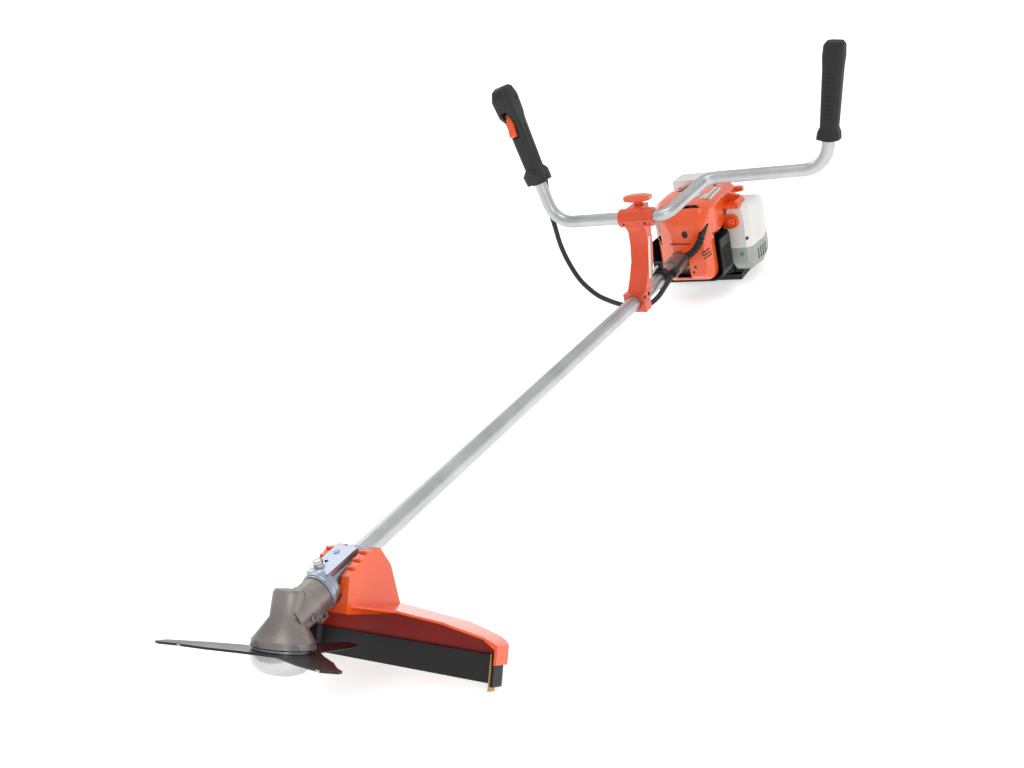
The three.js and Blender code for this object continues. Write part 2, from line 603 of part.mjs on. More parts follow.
// ---- Harness clamp, ring, cable and its clip ------------------------------------------------
// The cable's route from the throttle grip, under the shaft, to the carburettor side.
const CABLE = [
  [1139, 196, 231], [1139, 195, 173], [1138, 191, 137], [1138, 186, 94], [1136, 173, 55], [1130, 151, 20],
  [1120, 117, -6], [1108, 84, -16], [1095, 49, -21], [1087, 15, -22], [1095, -8, -21], [1116, -20, -14],
  [1145, -26, -2], [1172, -30, 8], [1200, -33, 16], [1232, -38, 25], [1260, -46, 29], [1280, -53, 40],
  [1292, -58, 56], [1303, -59, 67], [1318, -57, 73], [1338, -56, 72],
  [1362, -57, 64], [1385, -58, 54], [1404, -58, 50],
];

const cableCurve = () => new THREE.CatmullRomCurve3(CABLE.map(([x, y, z]) => V(x, y, z)));

function buildHarnessAndCable() {
  const curve = cableCurve();
  const a = RING_X - 9;
  const b = RING_X + 9;
  const cableEye = rod("x", CABLE_R + 4, a, b, 16).translate(0, CABLE_AT_CLAMP.y, CABLE_AT_CLAMP.z);
  const clamp = cut(
    join(
      rod("x", TUBE_R + 6, a, b, 24),
      box(RING_X - 3, RING_X + 3, -8, 8, 10, RING_EYE_Z + 7),
      box(a, b, -31, -8, 2, 14),
      cableEye,
    ),
    rod("x", TUBE_R + GAP, RING_X - 20, RING_X + 20, 28),
    rod("x", RING_WIRE_R + 1, RING_X - 20, RING_X + 20, 12).translate(0, 0, RING_EYE_Z),
    roundBar(curve.getSpacedPoints(50), CABLE_R + 0.6, 10),
  );
  add(shaft, "harness_clamp", clamp, BLACK);
  const hoop = new THREE.TorusGeometry(RING_LOOP_R, RING_WIRE_R, 8, 24).rotateX(PI / 2);
  hoop.translate(0, 0, RING_LOOP_R).rotateX(-RING_HANG).translate(RING_X, 0, RING_EYE_Z);
  add(shaft, "harness_ring", hoop, STEEL);
  add(shaft, "throttle_cable", roundBar(curve.getSpacedPoints(50), CABLE_R, 10), RUBBER);
}

// ---- Engine ---------------------------------------------------------------------------------
const AT = CRANK_X;
const ROD_LENGTH = 50;
const ROD_HALF = 3.7;
const WEB_R = 27;
const CASE_HALF = 32; // half-length of the crankcase
const DECK_Z = 36; // where the cylinder stands on the crankcase
const BEARING_R = 16;
const CASE_R = WEB_R + 6.5;
const FIN_HALF = 42;
const CYLINDER_TOP = DECK_Z + 56;

function buildClutch() {
  const r = TUBE_R + GAP;
  const end = TUBE_END + GAP;
  const bell = DRUM_R + 3;
  add(shaft, "clutch_housing", turnedX([
    [r, TUBE_END - 46], [20, TUBE_END - 46], [20, TUBE_END + 16],
    [bell + 3, DRUM.x0 - 5], [bell + 3, DRUM.x1 + 4],
    [bell, DRUM.x1 + 4], [bell, DRUM.x0 - 2], [20, DRUM.x0 - 7], [DRIVE_R + 1, DRUM.x0 - 7],
    [DRIVE_R + 1, end], [r, end],
  ]), CAST);
  add(shaft, "clutch_drum", turnedX([
    [DRIVE_R + GAP, DRUM.x0 - 6], [9, DRUM.x0 - 6], [9, DRUM.x0], [DRUM_R, DRUM.x0], [DRUM_R, DRUM.x1],
    [DRUM_R - 2, DRUM.x1], [DRUM_R - 2, DRUM.x0 + 3], [DRIVE_R + GAP, DRUM.x0 + 3],
  ]), STEEL);
  const shoeR = DRUM_R - 3.5;
  const hub = DRUM_R - 21; // the slots between hub and shoes, which leave a thin arm at each end
  const reach = Math.sqrt(shoeR ** 2 - (hub + 4) ** 2) - 1.32;
  const shoes = cut(
    rod("x", shoeR, DRUM.x0 + 7, DRUM.x1 - 2, 24),
    rod("x", 5 + GAP, DRUM.x0, DRUM.x1, 16),
    box(DRUM.x0, DRUM.x1, -3, 3, hub, 60),
    box(DRUM.x0, DRUM.x1, -3, 3, -60, -hub),
    box(DRUM.x0, DRUM.x1, -reach, 3, hub, hub + 4),
    box(DRUM.x0, DRUM.x1, -3, reach, -hub - 4, -hub),
  );
  add(shaft, "clutch_shoes", shoes, STEEL);
}

function buildFlywheel() {
  const x0 = DRUM.x1 + 7;
  const wheel = [turnedX([[8 + GAP, x0], [FLYWHEEL_R, x0], [FLYWHEEL_R, x0 + 5],
    [20, x0 + 6], [18, x0 + 16], [8 + GAP, x0 + 16]])];
  const vanes = 12;
  for (let k = 0; k < vanes; k += 1) {
    const vane = box(x0 + 4, x0 + 18, -1.5, 1.5, 22, FLYWHEEL_R - 1);
    wheel.push(vane.rotateX((2 * PI * k) / vanes));
  }
  add(shaft, "flywheel", join(...wheel), ALLOY);
}

function buildCrank() {
  const web = STROKE / 2;
  const inner = ROD_HALF + 2.3;
  const front = turnedX([
    [0, DRUM.x0 + 6], [5, DRUM.x0 + 6], [5, DRUM.x1 + 6], [8, DRUM.x1 + 6],
    [8, AT - inner - 6], [WEB_R, AT - inner - 6],
    [WEB_R, AT - inner], [0, AT - inner],
  ], 24);
  const rear = turnedX([
    [0, AT + inner], [WEB_R, AT + inner], [WEB_R, AT + inner + 6],
    [8, AT + inner + 6], [8, AT + 36], [6, AT + 36],
    [6, STARTER.x + 14], [0, STARTER.x + 14],
  ], 24);
  add(shaft, "crankshaft_front", front, STEEL);
  add(shaft, "crankshaft_rear", rear, STEEL);
  for (const [name, side] of [["crank_bearing_front", -1], ["crank_bearing_rear", 1]]) {
    const a = AT + side * (CASE_HALF - 8) - 5.5;
    add(shaft, name, ringX(8 + GAP, BEARING_R, a, a + 11, 20), STEEL);
  }
  const big = rod("x", 11, AT - ROD_HALF, AT + ROD_HALF, 20).translate(0, 0, web);
  const small = rod("x", 8, AT - ROD_HALF, AT + ROD_HALF, 16).translate(0, 0, web + ROD_LENGTH);
  const beam = box(AT - 2.5, AT + 2.5, -4.5, 4.5, web + 6, web + ROD_LENGTH - 5);
  const rodBody = cut(
    join(big, small, beam),
    rod("x", 7, AT - 9, AT + 9, 20).translate(0, 0, web),
    rod("x", 5, AT - 9, AT + 9, 16).translate(0, 0, web + ROD_LENGTH),
  );
  add(shaft, "connecting_rod", rodBody, STEEL);
  const pinHalf = ROD_HALF + 1.6;
  add(shaft, "crankpin", rod("x", 7 - GAP, AT - pinHalf, AT + pinHalf, 20).translate(0, 0, web), STEEL);
  const pinZ = web + ROD_LENGTH;
  const piston = cut(
    rod("z", BORE_R - GAP, pinZ - 10, pinZ + 14, 24).translate(AT, 0, 0),
    rod("z", BORE_R - 3, pinZ - 20, pinZ + 10, 24).translate(AT, 0, 0),
    rod("x", 5, AT - 30, AT + 30, 16).translate(0, 0, pinZ),
  );
  add(shaft, "piston", piston, ALLOY);
}

function crankcase() {
  const a = AT - CASE_HALF;
  const b = AT + CASE_HALF;
  const barrel = rod("x", CASE_R, a, b, 28);
  const deck = box(a, b, -33, 33, 8, DECK_Z);
  const feet = box(a + 6, b - 6, -30, 30, TANK.z1 + GAP, -20);
  const seats = [a - 1, b - 14 + GAP].map((x) => rod("x", BEARING_R + GAP, x, x + 15 - GAP, 24));
  return cut(
    join(barrel, deck, feet),
    rod("x", WEB_R + 3, AT - 13.5, AT + 13.5, 28),
    rod("x", 8 + 2 * GAP, a - 2, b + 2, 20),
    rod("z", BORE_R + GAP, -5, DECK_Z + 2, 28).translate(AT, 0, 0),
    ...seats,
  );
}

function cylinder() {
  const fins = [];
  const count = 6;
  for (let k = 0; k < count; k += 1) {
    const z = DECK_Z + 9 + k * 8;
    fins.push(box(AT - FIN_HALF, AT + FIN_HALF, -FIN_HALF, FIN_HALF, z, z + 2.4));
  }
  const barrel = rod("z", BORE_R + 5.5, DECK_Z + GAP, CYLINDER_TOP, 20).translate(AT, 0, 0);
  const flange = box(AT - 31, AT + 31, -31, 31, DECK_Z + GAP, DECK_Z + 5);
  return cut(
    join(barrel, flange, ...fins),
    rod("z", BORE_R + GAP, DECK_Z - 2, CYLINDER_TOP - 9, 24).translate(AT, 0, 0),
    rod("z", 5 + GAP, CYLINDER_TOP - 12, CYLINDER_TOP + 2, 16).translate(AT, 0, 0),
    rod("y", 7, -60, -10, 16).translate(AT, 0, DECK_Z + 21),
    box(AT + 10, AT + 60, 2, 18, DECK_Z + 19.5, DECK_Z + 24.5),
  );
}

function buildCylinder() {
  add(shaft, "crankcase", crankcase(), CAST);
  add(shaft, "cylinder", cylinder(), ALLOY);
  const plug = join(
    rod("z", 5, CYLINDER_TOP - 9, CYLINDER_TOP + 1, 16),
    rod("z", 10, CYLINDER_TOP + GAP, CYLINDER_TOP + 7, 6),
    rod("z", 7, CYLINDER_TOP + 7, CYLINDER_TOP + 20, 16),
  );
  add(shaft, "spark_plug", plug.translate(AT, 0, 0), STEEL);
}

const CARB = { x0: AT - 6, x1: AT + 28, y0: -76, y1: -50, z0: 36, z1: 71 };

function buildIntake() {
  const midZ = DECK_Z + 21;
  const body = cut(
    join(
      box(CARB.x0, CARB.x1, CARB.y0, CARB.y1, CARB.z0, CARB.z1),
      rod("y", 11, CARB.y1 - 1, -FIN_HALF - GAP, 20).translate(AT, 0, midZ),
    ),
    rod("y", 7, -90, 0, 16).translate(AT, 0, midZ),
  );
  add(shaft, "carburettor", body, ALLOY);
  const filter = box(AT - 3, AT + 60, -102, CARB.y0 - GAP, 34, 70);
  add(shaft, "air_filter", filter, RUBBER);
}

// The shroud's two outlines, {x, left, right, low, high}, grown or shrunk by t.
function casing(list, t, corner = 0.34) {
  const stations = list.map(({ x, left, right, low, high }) => ({
    x,
    y: (left + right) / 2,
    z: (low + high) / 2,
    w: (right - left) / 2 + t,
    h: (high - low) / 2 + t,
  }));
  return loft(roundedRect(1, 1, corner), stations, 4);
}

const NOSE_X = TUBE_END + 2;
const NOSE = [
  { x: NOSE_X, left: -58, right: 10, low: -34, high: 76 },
  { x: NOSE_X + 14, left: -64, right: 30, low: -46, high: 98 },
  { x: NOSE_X + 28, left: -67, right: 49, low: -52, high: 108 },
  { x: NOSE_X + 37, left: -68, right: 56, low: -54, high: 112 },
];
const HOOD = [
  { x: NOSE_X + 30, left: -66, right: 54, low: 30, high: 112 },
  { x: NOSE_X + 62, left: -72, right: 64, low: 30, high: 117 },
  { x: NOSE_X + 114, left: -68, right: 68, low: 30, high: 119 },
  { x: AT + 72, left: -66, right: 60, low: 30, high: 113 },
];
const COVER_X = NOSE_X + 115; // front of the filter cover
const SHOULDER = { x0: COVER_X - 8, x1: COVER_X + 36, y0: -102, y1: -60, z0: 75, z1: 97 };
const KNOB = { x: COVER_X - 6, y: -83, z: 46 };

const shifted = (list, first, last) => list.map((s, i) => ({
  ...s, x: s.x + (i === 0 ? first : 0) + (i === list.length - 1 ? last : 0),
}));

function engineShroud() {
  const { x0, x1, y0, y1, z0, z1 } = SHOULDER;
  const shoulder = prismX([[y0, z0], [y1, z0], [y1, z1 + 6], [y0 + 8, z1 - 4], [y0, z1 - 14]], x0, x1);
  const pocket = box(x0 - 1, x1 - 8, y0 + 6, y1 - 10, z0 + 7, z1 + 20);
  const tongue = join(
    rod("x", 15, KNOB.x, KNOB.x + 5, 28).translate(0, KNOB.y, KNOB.z),
    box(KNOB.x, KNOB.x + 5, KNOB.y, KNOB.y + 20, KNOB.z - 15, KNOB.z + 15),
  );
  const outer = join(casing(NOSE, 0), casing(HOOD, 0, 0.48), cut(shoulder, pocket), tongue);
  const open = HOOD.map((s) => ({ ...s, low: s.low - 12 }));
  const inner = [casing(shifted(NOSE, 3, 3), -3), casing(shifted(open, -6, 4), -3, 0.48)];
  const floor = box(NOSE_X + 37.2, AT + 80, -63, 51, -80, 50);
  const belly = box(NOSE_X + 37.2, AT + 90, -120, 110, -80, FAN_TOP + GAP);
  const tubeArch = rod("x", 21, NOSE_X - 10, NOSE_X + 20, 24);
  const arch = box(NOSE_X - 10, NOSE_X + 12, -21, 21, -80, 0);
  const cableSlot = roundBar(cableCurve().getSpacedPoints(30), CABLE_R + 3, 8);
  const window = box(CARB.x0 - 2, CARB.x1 + 2, -75, -50, FAN_TOP, CARB.z1 + 2);
  return cut(outer, ...inner, floor, belly, tubeArch, arch, cableSlot, window, knobHole());
}

const knobHole = () => rod("x", 4, KNOB.x - 40, KNOB.x + 60, 12).translate(0, KNOB.y, KNOB.z);

const FAN_TOP = 30;
const FAN = { x0: NOSE_X + 38, x1: AT - CASE_HALF - GAP, left: -80, right: 78, low: -60 };

function fanHousing() {
  const station = (x) => ({ x, left: FAN.left, right: FAN.right, low: FAN.low, high: 90 });
  const full = (t, a, b) => casing([a, b].map(station), t);
  return cut(
    full(0, FAN.x0, FAN.x1),
    full(-3, FAN.x0 - 2, FAN.x1 - 3),
    box(FAN.x0 - 5, FAN.x1 + 5, -120, 120, FAN_TOP, 120),
    rod("x", 20, FAN.x0, FAN.x1 + 5, 24),
  );
}

// The filter cover's upper and lower halves share these stations.
const COVER = [
  { x: COVER_X + GAP, left: -106, right: -69, low: -50, high: 72 },
  { x: COVER_X + 12, left: -115, right: -69, low: -65, high: 80 },
  { x: COVER_X + 68, left: -120, right: -69, low: -67, high: 82 },
  { x: COVER_X + 120, left: -112, right: -69, low: -63, high: 66 },
  { x: COVER_X + 140, left: -96, right: -70, low: -50, high: 44 },
];
const COVER_SPLIT = -15;

function buildCovers() {
  add(shaft, "engine_shroud", engineShroud(), ORANGE);
  add(shaft, "fan_housing", fanHousing(), BLACK);
  const { x0, x1, y0, y1, z0 } = SHOULDER;
  const room = box(x0 - GAP, x1 + GAP, y0 - GAP, y1, z0 - GAP, 200);
  const cavity = casing(shifted(COVER.map((s) => ({ ...s, right: s.right + 20 })), 3, -3), -3);
  const whole = cut(casing(COVER, 0), cavity, room, knobHole());
  const upper = common(whole, box(CRANK_X - 115, CRANK_X + 285, -200, 0, COVER_SPLIT, 200));
  const lower = common(whole, box(CRANK_X - 115, CRANK_X + 285, -200, 0, -200, COVER_SPLIT - GAP));
  add(shaft, "filter_cover_upper", upper, WHITE);
  add(shaft, "filter_cover_lower", lower, GREY);
  const knob = join(rod("x", 9, KNOB.x - 8, KNOB.x - GAP, 20), rod("x", 3.6, KNOB.x - 1, COVER_X + 5, 10));
  add(shaft, "cover_knob", knob.translate(0, KNOB.y, KNOB.z), ORANGE);
}

const STARTER = { x: AT + 82, r: 44 };

function buildStarter() {
  const { x, r } = STARTER;
  const cup = turnedX([
    [0, x + 25], [r - 3, x + 25], [r - 3, x - 15], [9, x - 15], [9, x - 18],
    [r, x - 18], [r, x + 28], [0, x + 28],
  ]);
  const ropeHole = rod("z", 4, 0, 70, 16).translate(x, -PULLEY_R - 1, 0);
  const foot = box(x - 12, x + 22, -22, 22, TANK.z1 + GAP, -r + 4);
  add(shaft, "starter_housing", cut(join(cup, foot), ropeHole, rod("x", 9, x - 30, x + 5, 20)), BLACK);
  const pulley = turnedX([
    [6 + GAP, x - 5], [PULLEY_R + 1, x - 5], [PULLEY_R + 1, x - 3],
    [PULLEY_R - 4, x - 3], [PULLEY_R - 4, x + 3],
    [PULLEY_R + 1, x + 3], [PULLEY_R + 1, x + 5], [6 + GAP, x + 5],
  ]);
  add(shaft, "starter_pulley", pulley, RUBBER);
  const gripZ = 88;
  const rope = roundBar([V(x, -PULLEY_R - 1, 46), V(x, -PULLEY_R - 1, gripZ - 5 - GAP)], ROPE_R, 8);
  add(shaft, "starter_rope", rope, RUBBER);
  const grip = loft(roundedRect(1, 1, 0.6), [
    { x: -44, w: 5, h: 5 }, { x: -36, w: 7.5, h: 6.5 }, { x: 0, w: 8, h: 6, z: -1 },
    { x: 36, w: 7.5, h: 6.5 }, { x: 44, w: 5, h: 5 },
  ], 3).rotateZ(PI / 2).translate(x, -PULLEY_R - 1, gripZ + 2);
  add(shaft, "starter_grip", grip, ORANGE);
}

function buildMuffler() {
  const a = AT + 72 + 3 + GAP;
  const box1 = (x, w, h) => ({ x, y: 41, z: 82, w, h });
  const can = (t) => loft(roundedRect(1, 1, 0.35), [
    box1(a + t, 28 - t, 26 - t), box1(a + 5, 32 - t, 30 - t),
    box1(a + 46, 32 - t, 30 - t), box1(a + 50 - t, 28 - t, 26 - t),
  ], 2);
  const duct = box(AT + FIN_HALF + GAP, a + 4, 12, 30, DECK_Z + 17, DECK_Z + 29);
  const gas = box(AT + FIN_HALF - 2, a + 6, 15, 27, DECK_Z + 20, DECK_Z + 26);
  const outlet = rod("x", 6, a + 40, a + 60, 12).translate(0, 58, 98);
  add(shaft, "muffler", cut(join(can(0), duct), can(2), gas, outlet), STEEL);
  const guard = cut(
    box(a - 3, a + 56, 7.3, 76, 70, 120),
    box(a - GAP, a + 53, 8.7, 73.4, 60, 116.5),
    box(a - 5, a + 5, 10, 32, 60, 73),
  );
  add(shaft, "muffler_guard", guard, WHITE);
}

const FILL_X = AT + 130;

function buildTank() {
  const { x0, x1, y0, y1, z0, z1 } = TANK;
  const main = loft(roundedRect(1, 1, 0.3), [
    { x: x0, y: (y0 + 20 + y1) / 2, z: (z0 + z1) / 2, w: (y1 - y0 - 30) / 2, h: (z1 - z0 - 4) / 2 },
    { x: x0 + 8, y: (y0 + 20 + y1) / 2, z: (z0 + z1) / 2, w: (y1 - y0 - 20) / 2, h: (z1 - z0) / 2 },
    { x: x1 - 10, y: (y0 + 20 + y1) / 2, z: (z0 + z1) / 2, w: (y1 - y0 - 20) / 2, h: (z1 - z0) / 2 },
    { x: x1, y: (y0 + 20 + y1) / 2, z: (z0 + z1) / 2, w: (y1 - y0 - 40) / 2, h: (z1 - z0 - 10) / 2 },
  ], 3);
  const lobe = box(x0 + 12, x1 - 24, y0, y0 + 40, z0 + 2, z0 + 13);
  const cavity = box(x0 + 12, x1 - 14, y0 + 27, y1 - 6, z0 + 4, z1 - 4);
  const mouth = rod("y", 9, y1 - 12, y1 + 10, 20).translate(FILL_X, 0, (z0 + z1) / 2);
  add(shaft, "fuel_tank", cut(join(main, lobe), cavity, mouth), BLACK);
  const cap = join(
    rod("y", 17, y1 + GAP, y1 + 13, 28),
    rod("y", 8, y1 - 8, y1 + 1, 20),
    box(-14, 14, y1 + 12, y1 + 18, -3, 3),
  );
  add(shaft, "fuel_cap", cap.translate(FILL_X, 0, (z0 + z1) / 2), BLACK);

  const plate = box(x0 + 4, x1 - 6, y0 + 4, y1 - 4, z0 - 20, z0 - GAP);
  const floor = box(-400, 400, -400, 400, -200, 0);
  floor.applyMatrix4(new THREE.Matrix4().makeRotationY(-TILT));
  floor.translate(BASE_X, BASE_Y, BASE_Z);
  const tray = box(x0 + 8, x1 - 10, y0 + 8, y1 - 8, z0 - 5, z0 + 5);
  add(shaft, "base_plate", cut(plate, floor, tray), BLACK);
}

buildHead();
buildBlade();
buildGuard();
buildShaft();
buildHandlebar();
buildSupport();
buildHarnessAndCable();
buildClutch();
buildFlywheel();
buildCrank();
buildCylinder();
buildIntake();
buildCovers();
buildStarter();
buildMuffler();
buildTank();

export default row;
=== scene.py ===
# %% [markdown]
# # A petrol brush cutter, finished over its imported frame
# The frame holds every solid part at its true size and place, in metres. This lesson adds what the
# eye looks for: rounded edges, screws, ribs, a cable that bends, and a finish for each material.
# The frame comes first, because each new piece takes its place from it.

import json
import math

import bmesh
import bpy
from mathutils import Matrix, Vector


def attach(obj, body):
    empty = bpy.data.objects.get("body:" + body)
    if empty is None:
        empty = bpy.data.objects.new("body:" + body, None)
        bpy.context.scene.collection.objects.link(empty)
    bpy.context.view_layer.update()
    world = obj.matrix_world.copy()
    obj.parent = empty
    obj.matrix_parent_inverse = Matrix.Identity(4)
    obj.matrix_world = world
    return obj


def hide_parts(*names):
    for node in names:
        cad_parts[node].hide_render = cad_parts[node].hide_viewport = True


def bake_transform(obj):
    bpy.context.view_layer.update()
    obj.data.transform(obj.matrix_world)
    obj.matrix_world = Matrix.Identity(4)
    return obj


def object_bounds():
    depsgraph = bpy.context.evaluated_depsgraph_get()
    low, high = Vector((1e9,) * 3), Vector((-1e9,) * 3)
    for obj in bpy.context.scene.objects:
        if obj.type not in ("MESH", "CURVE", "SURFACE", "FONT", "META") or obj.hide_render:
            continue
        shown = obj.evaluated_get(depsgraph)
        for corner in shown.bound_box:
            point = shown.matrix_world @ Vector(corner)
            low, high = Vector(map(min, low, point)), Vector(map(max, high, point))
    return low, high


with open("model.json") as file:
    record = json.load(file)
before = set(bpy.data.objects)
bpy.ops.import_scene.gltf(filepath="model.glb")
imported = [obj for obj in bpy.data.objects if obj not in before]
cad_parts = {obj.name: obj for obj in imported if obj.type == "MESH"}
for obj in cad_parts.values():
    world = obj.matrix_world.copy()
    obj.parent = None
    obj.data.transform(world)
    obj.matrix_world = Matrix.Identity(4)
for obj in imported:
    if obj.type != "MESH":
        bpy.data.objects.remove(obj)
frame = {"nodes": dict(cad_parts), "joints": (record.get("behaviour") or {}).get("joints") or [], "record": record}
cad_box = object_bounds()
nodes = frame["nodes"]
joints = {j["name"]: j for j in frame["joints"]}
MM = 0.001

# %% [markdown]
# ## Two working frames
# The maker drew the machine along its shaft, and the blade, its guard and the gear head along the
# blade's own axis. Both lie at an angle in the room. Two matrices turn millimetres in those frames
# into metres in the room. They come from the joints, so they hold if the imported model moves.

# %% Frames along the shaft and along the blade's axis
DRIVE_POINT_MM = 100  # the drive joint's point, measured along the shaft


def working_frame(x_axis, z_axis, origin):
    """A matrix from millimetres in a tilted frame to metres in the room."""
    y_axis = z_axis.cross(x_axis)
    turn = Matrix((x_axis, y_axis, z_axis)).transposed().to_4x4()
    return Matrix.Translation(origin) @ turn @ Matrix.Scale(MM, 4)


along = Vector(joints["drive_spin"]["axis"]).normalized()
across = Vector((0, 1, 0))
shaft_origin = Vector(joints["drive_spin"]["pos_m"]) - along * DRIVE_POINT_MM * MM
SHAFT = working_frame(along, along.cross(across), shaft_origin)
blade_axis = Vector(joints["blade_spin"]["axis"]).normalized()
HEAD = working_frame(across.cross(blade_axis), blade_axis, Vector(joints["blade_spin"]["pos_m"]))
print("shaft falls", round(math.degrees(math.asin(-along.z)), 2), "degrees")

# %% [markdown]
# ## Camera
# The view is from in front of the cutting head, to the machine's left and above it, so that the long
# shaft runs away up to the right. The camera's sideways and forward directions are given along the
# shaft's frame. Depth of field stays off, because the whole length has to be sharp.

# %% Camera
CAMERA_MM = Vector((-769.0, -920.4, 688.0))
CAMERA_RIGHT = Vector((0.48198, -0.85138, -0.20702))
CAMERA_FORWARD = Vector((0.76875, 0.52427, -0.36628))
LENS_MM = 38.94

camera_data = bpy.data.cameras.new("camera")
camera_data.lens = LENS_MM
camera_data.sensor_width = 36
camera_data.clip_end = 400
camera = bpy.data.objects.new("camera", camera_data)
bpy.context.scene.collection.objects.link(camera)
bpy.context.scene.camera = camera
turn = SHAFT.to_3x3() * (1 / MM)
right = (turn @ CAMERA_RIGHT).normalized()
back = -(turn @ CAMERA_FORWARD).normalized()
up = back.cross(right).normalized()
camera.matrix_world = Matrix.Translation(SHAFT @ CAMERA_MM) @ Matrix((right, up, back)).transposed().to_4x4()
print("camera at", [round(v, 3) for v in camera.matrix_world.translation])

# %% [markdown]
# ## One node helper and colours
# A finish is a small graph of nodes. One function adds a node with its settings and links. Colours
# are read as sRGB hex values, the way a paint chart gives them, and turned to linear light once.

# %% Colour and node helpers


def colour(hex_value):
    """An sRGB hex value as linear light."""
    parts = [int(hex_value[i : i + 2], 16) / 255 for i in (1, 3, 5)]
    linear = [c / 12.92 if c <= 0.04045 else ((c + 0.055) / 1.055) ** 2.4 for c in parts]
    return (*linear, 1.0)


def node(tree, kind, settings=None, **inputs):
    """Adds a node. Settings are its own properties, and inputs are values or links by socket name."""
    made = tree.nodes.new(kind)
    for key, value in (settings or {}).items():
        setattr(made, key, value)
    for key, value in inputs.items():
        socket = (
            made.inputs[int(key[1:])]
            if key[0] == "i" and key[1:].isdigit()
            else made.inputs[key.replace("_", " ")]
        )
        if isinstance(value, bpy.types.NodeSocket):
            tree.links.new(value, socket)
        else:
            socket.default_value = value
    return made


def per_mm(size_mm):
    """A texture scale whose features are about size_mm across, on coordinates in metres."""
    return 1 / (size_mm * MM)


# %% [markdown]
# ## Finishes
# Every finish starts from the same plan: a base colour that drifts a little between two close
# shades, a roughness that drifts with it, and a fine relief for the grain of the mould, the casting
# or the brush marks. The numbers say what the real surface is: a glossy moulding has a coat and
# hardly any relief, and a casting has coarse relief and a wide roughness. Brush marks are noise
# stretched along one direction.

# %% The plan of a finish


def finish(
    name, light, dark, rough, grain_mm, relief_mm, metal=0.0, coat=0.0, stretch=(1, 1, 1),
    drift_mm=60, ior=1.5,
):
    """A named material: two shades, a roughness range, a grain and its relief, all in real sizes."""
    material = bpy.data.materials.new(name)
    material.use_nodes = True
    tree = material.node_tree
    shader = tree.nodes["Principled BSDF"]
    place = node(tree, "ShaderNodeTexCoord").outputs["Object"]
    grained = node(tree, "ShaderNodeMapping", Vector=place, Scale=stretch).outputs[0]
    drift = node(tree, "ShaderNodeTexNoise", Vector=place, Scale=per_mm(drift_mm), Detail=3.0).outputs[0]
    grain = node(tree, "ShaderNodeTexNoise", Vector=grained, Scale=per_mm(grain_mm), Detail=4.0).outputs[0]
    both = node(tree, "ShaderNodeMath", {"operation": "MULTIPLY_ADD"}, i0=grain, i1=0.45, i2=drift).outputs[0]
    shade = node(tree, "ShaderNodeValToRGB", Fac=both)
    shade.color_ramp.elements[0].position = 0.45
    shade.color_ramp.elements[0].color = colour(dark)
    shade.color_ramp.elements[1].position = 0.95
    shade.color_ramp.elements[1].color = colour(light)
    low, high = rough
    spread = node(tree, "ShaderNodeMapRange", i0=both, i1=0.45, i2=0.95, i3=low, i4=high).outputs[0]
    relief = node(tree, "ShaderNodeBump", Height=grain, Distance=relief_mm * MM, Strength=1.0).outputs[0]
    tree.links.new(shade.outputs[0], shader.inputs["Base Color"])
    tree.links.new(spread, shader.inputs["Roughness"])
    tree.links.new(relief, shader.inputs["Normal"])
    shader.inputs["Metallic"].default_value = metal
    shader.inputs["Coat Weight"].default_value = coat
    shader.inputs["Coat Roughness"].default_value = 0.12
    if metal < 0.5:
        shader.inputs["IOR"].default_value = ior
    return material


# %% [markdown]
# Plastics first. The orange is glossy moulded ABS: an even colour, soft highlights and a faint orange
# peel. The black is glass-filled nylon with a fine spark-eroded grain, which breaks highlights up.

# %% Plastics and rubber
LONG = (0.06, 1, 1)  # marks run along the shaft
orange_abs = finish(
    "orange_abs_moulded", "#EE5A1C", "#E24C10", (0.2, 0.28), 2.2, 0.004, coat=0.5, drift_mm=90,
)
red_abs = finish("red_abs_moulded", "#8E1410", "#74100C", (0.3, 0.4), 2.0, 0.01, coat=0.2)
orange_enamel = finish("orange_enamel_on_cast", "#E04A1A", "#CC3D10", (0.24, 0.34), 3.0, 0.012, coat=0.4)
white_abs = finish("off_white_abs_moulded", "#E2E0DB", "#D3D1CC", (0.3, 0.42), 2.0, 0.012, coat=0.15)
grey_nylon = finish("grey_nylon_moulded", "#A3A9A3", "#8E958F", (0.42, 0.55), 0.9, 0.03)
black_nylon = finish("black_nylon_spark_grain", "#1A1B1C", "#0F0F10", (0.46, 0.6), 0.9, 0.03)
black_rubber = finish("black_rubber_moulded", "#1B1B1C", "#101011", (0.6, 0.78), 1.2, 0.06)
cable_pvc = finish("black_pvc_sleeve", "#1D1D1F", "#121213", (0.35, 0.48), 1.6, 0.03, stretch=LONG)
print("plastics and rubbers made")

# %% [markdown]
# Metals keep the default IOR. The drawn tube shows faint lines along its length, the castings have a
# warm grey skin with a coarse grain, and the hardened blade is dark with grinding marks.

# %% Metals
drawn_tube = finish(
    "aluminium_drawn_satin", "#C9CACC", "#B2B4B7", (0.3, 0.42), 1.4, 0.01, metal=0.9, stretch=LONG,
)
cast_alloy = finish("alloy_die_cast", "#A39B96", "#827A76", (0.36, 0.5), 1.3, 0.06, metal=0.85)
blue_alloy = finish("alloy_anodised_bluish", "#B4BECB", "#96A1B1", (0.28, 0.4), 1.0, 0.02, metal=0.9)
polished = finish("steel_pressed_polished", "#D0D0CF", "#B7B6B4", (0.16, 0.26), 3.0, 0.01, metal=1.0)
machined = finish("steel_machined", "#9DA0A4", "#84878B", (0.28, 0.4), 0.8, 0.015, metal=1.0)
blade_steel = finish(
    "steel_hardened_dark", "#4B4D51", "#35373A", (0.28, 0.42), 1.6, 0.03, metal=0.9,
    stretch=(1, 0.1, 1),
)
black_screw = finish("steel_blackened", "#2C2D30", "#1D1E20", (0.35, 0.5), 0.8, 0.02, metal=0.7)
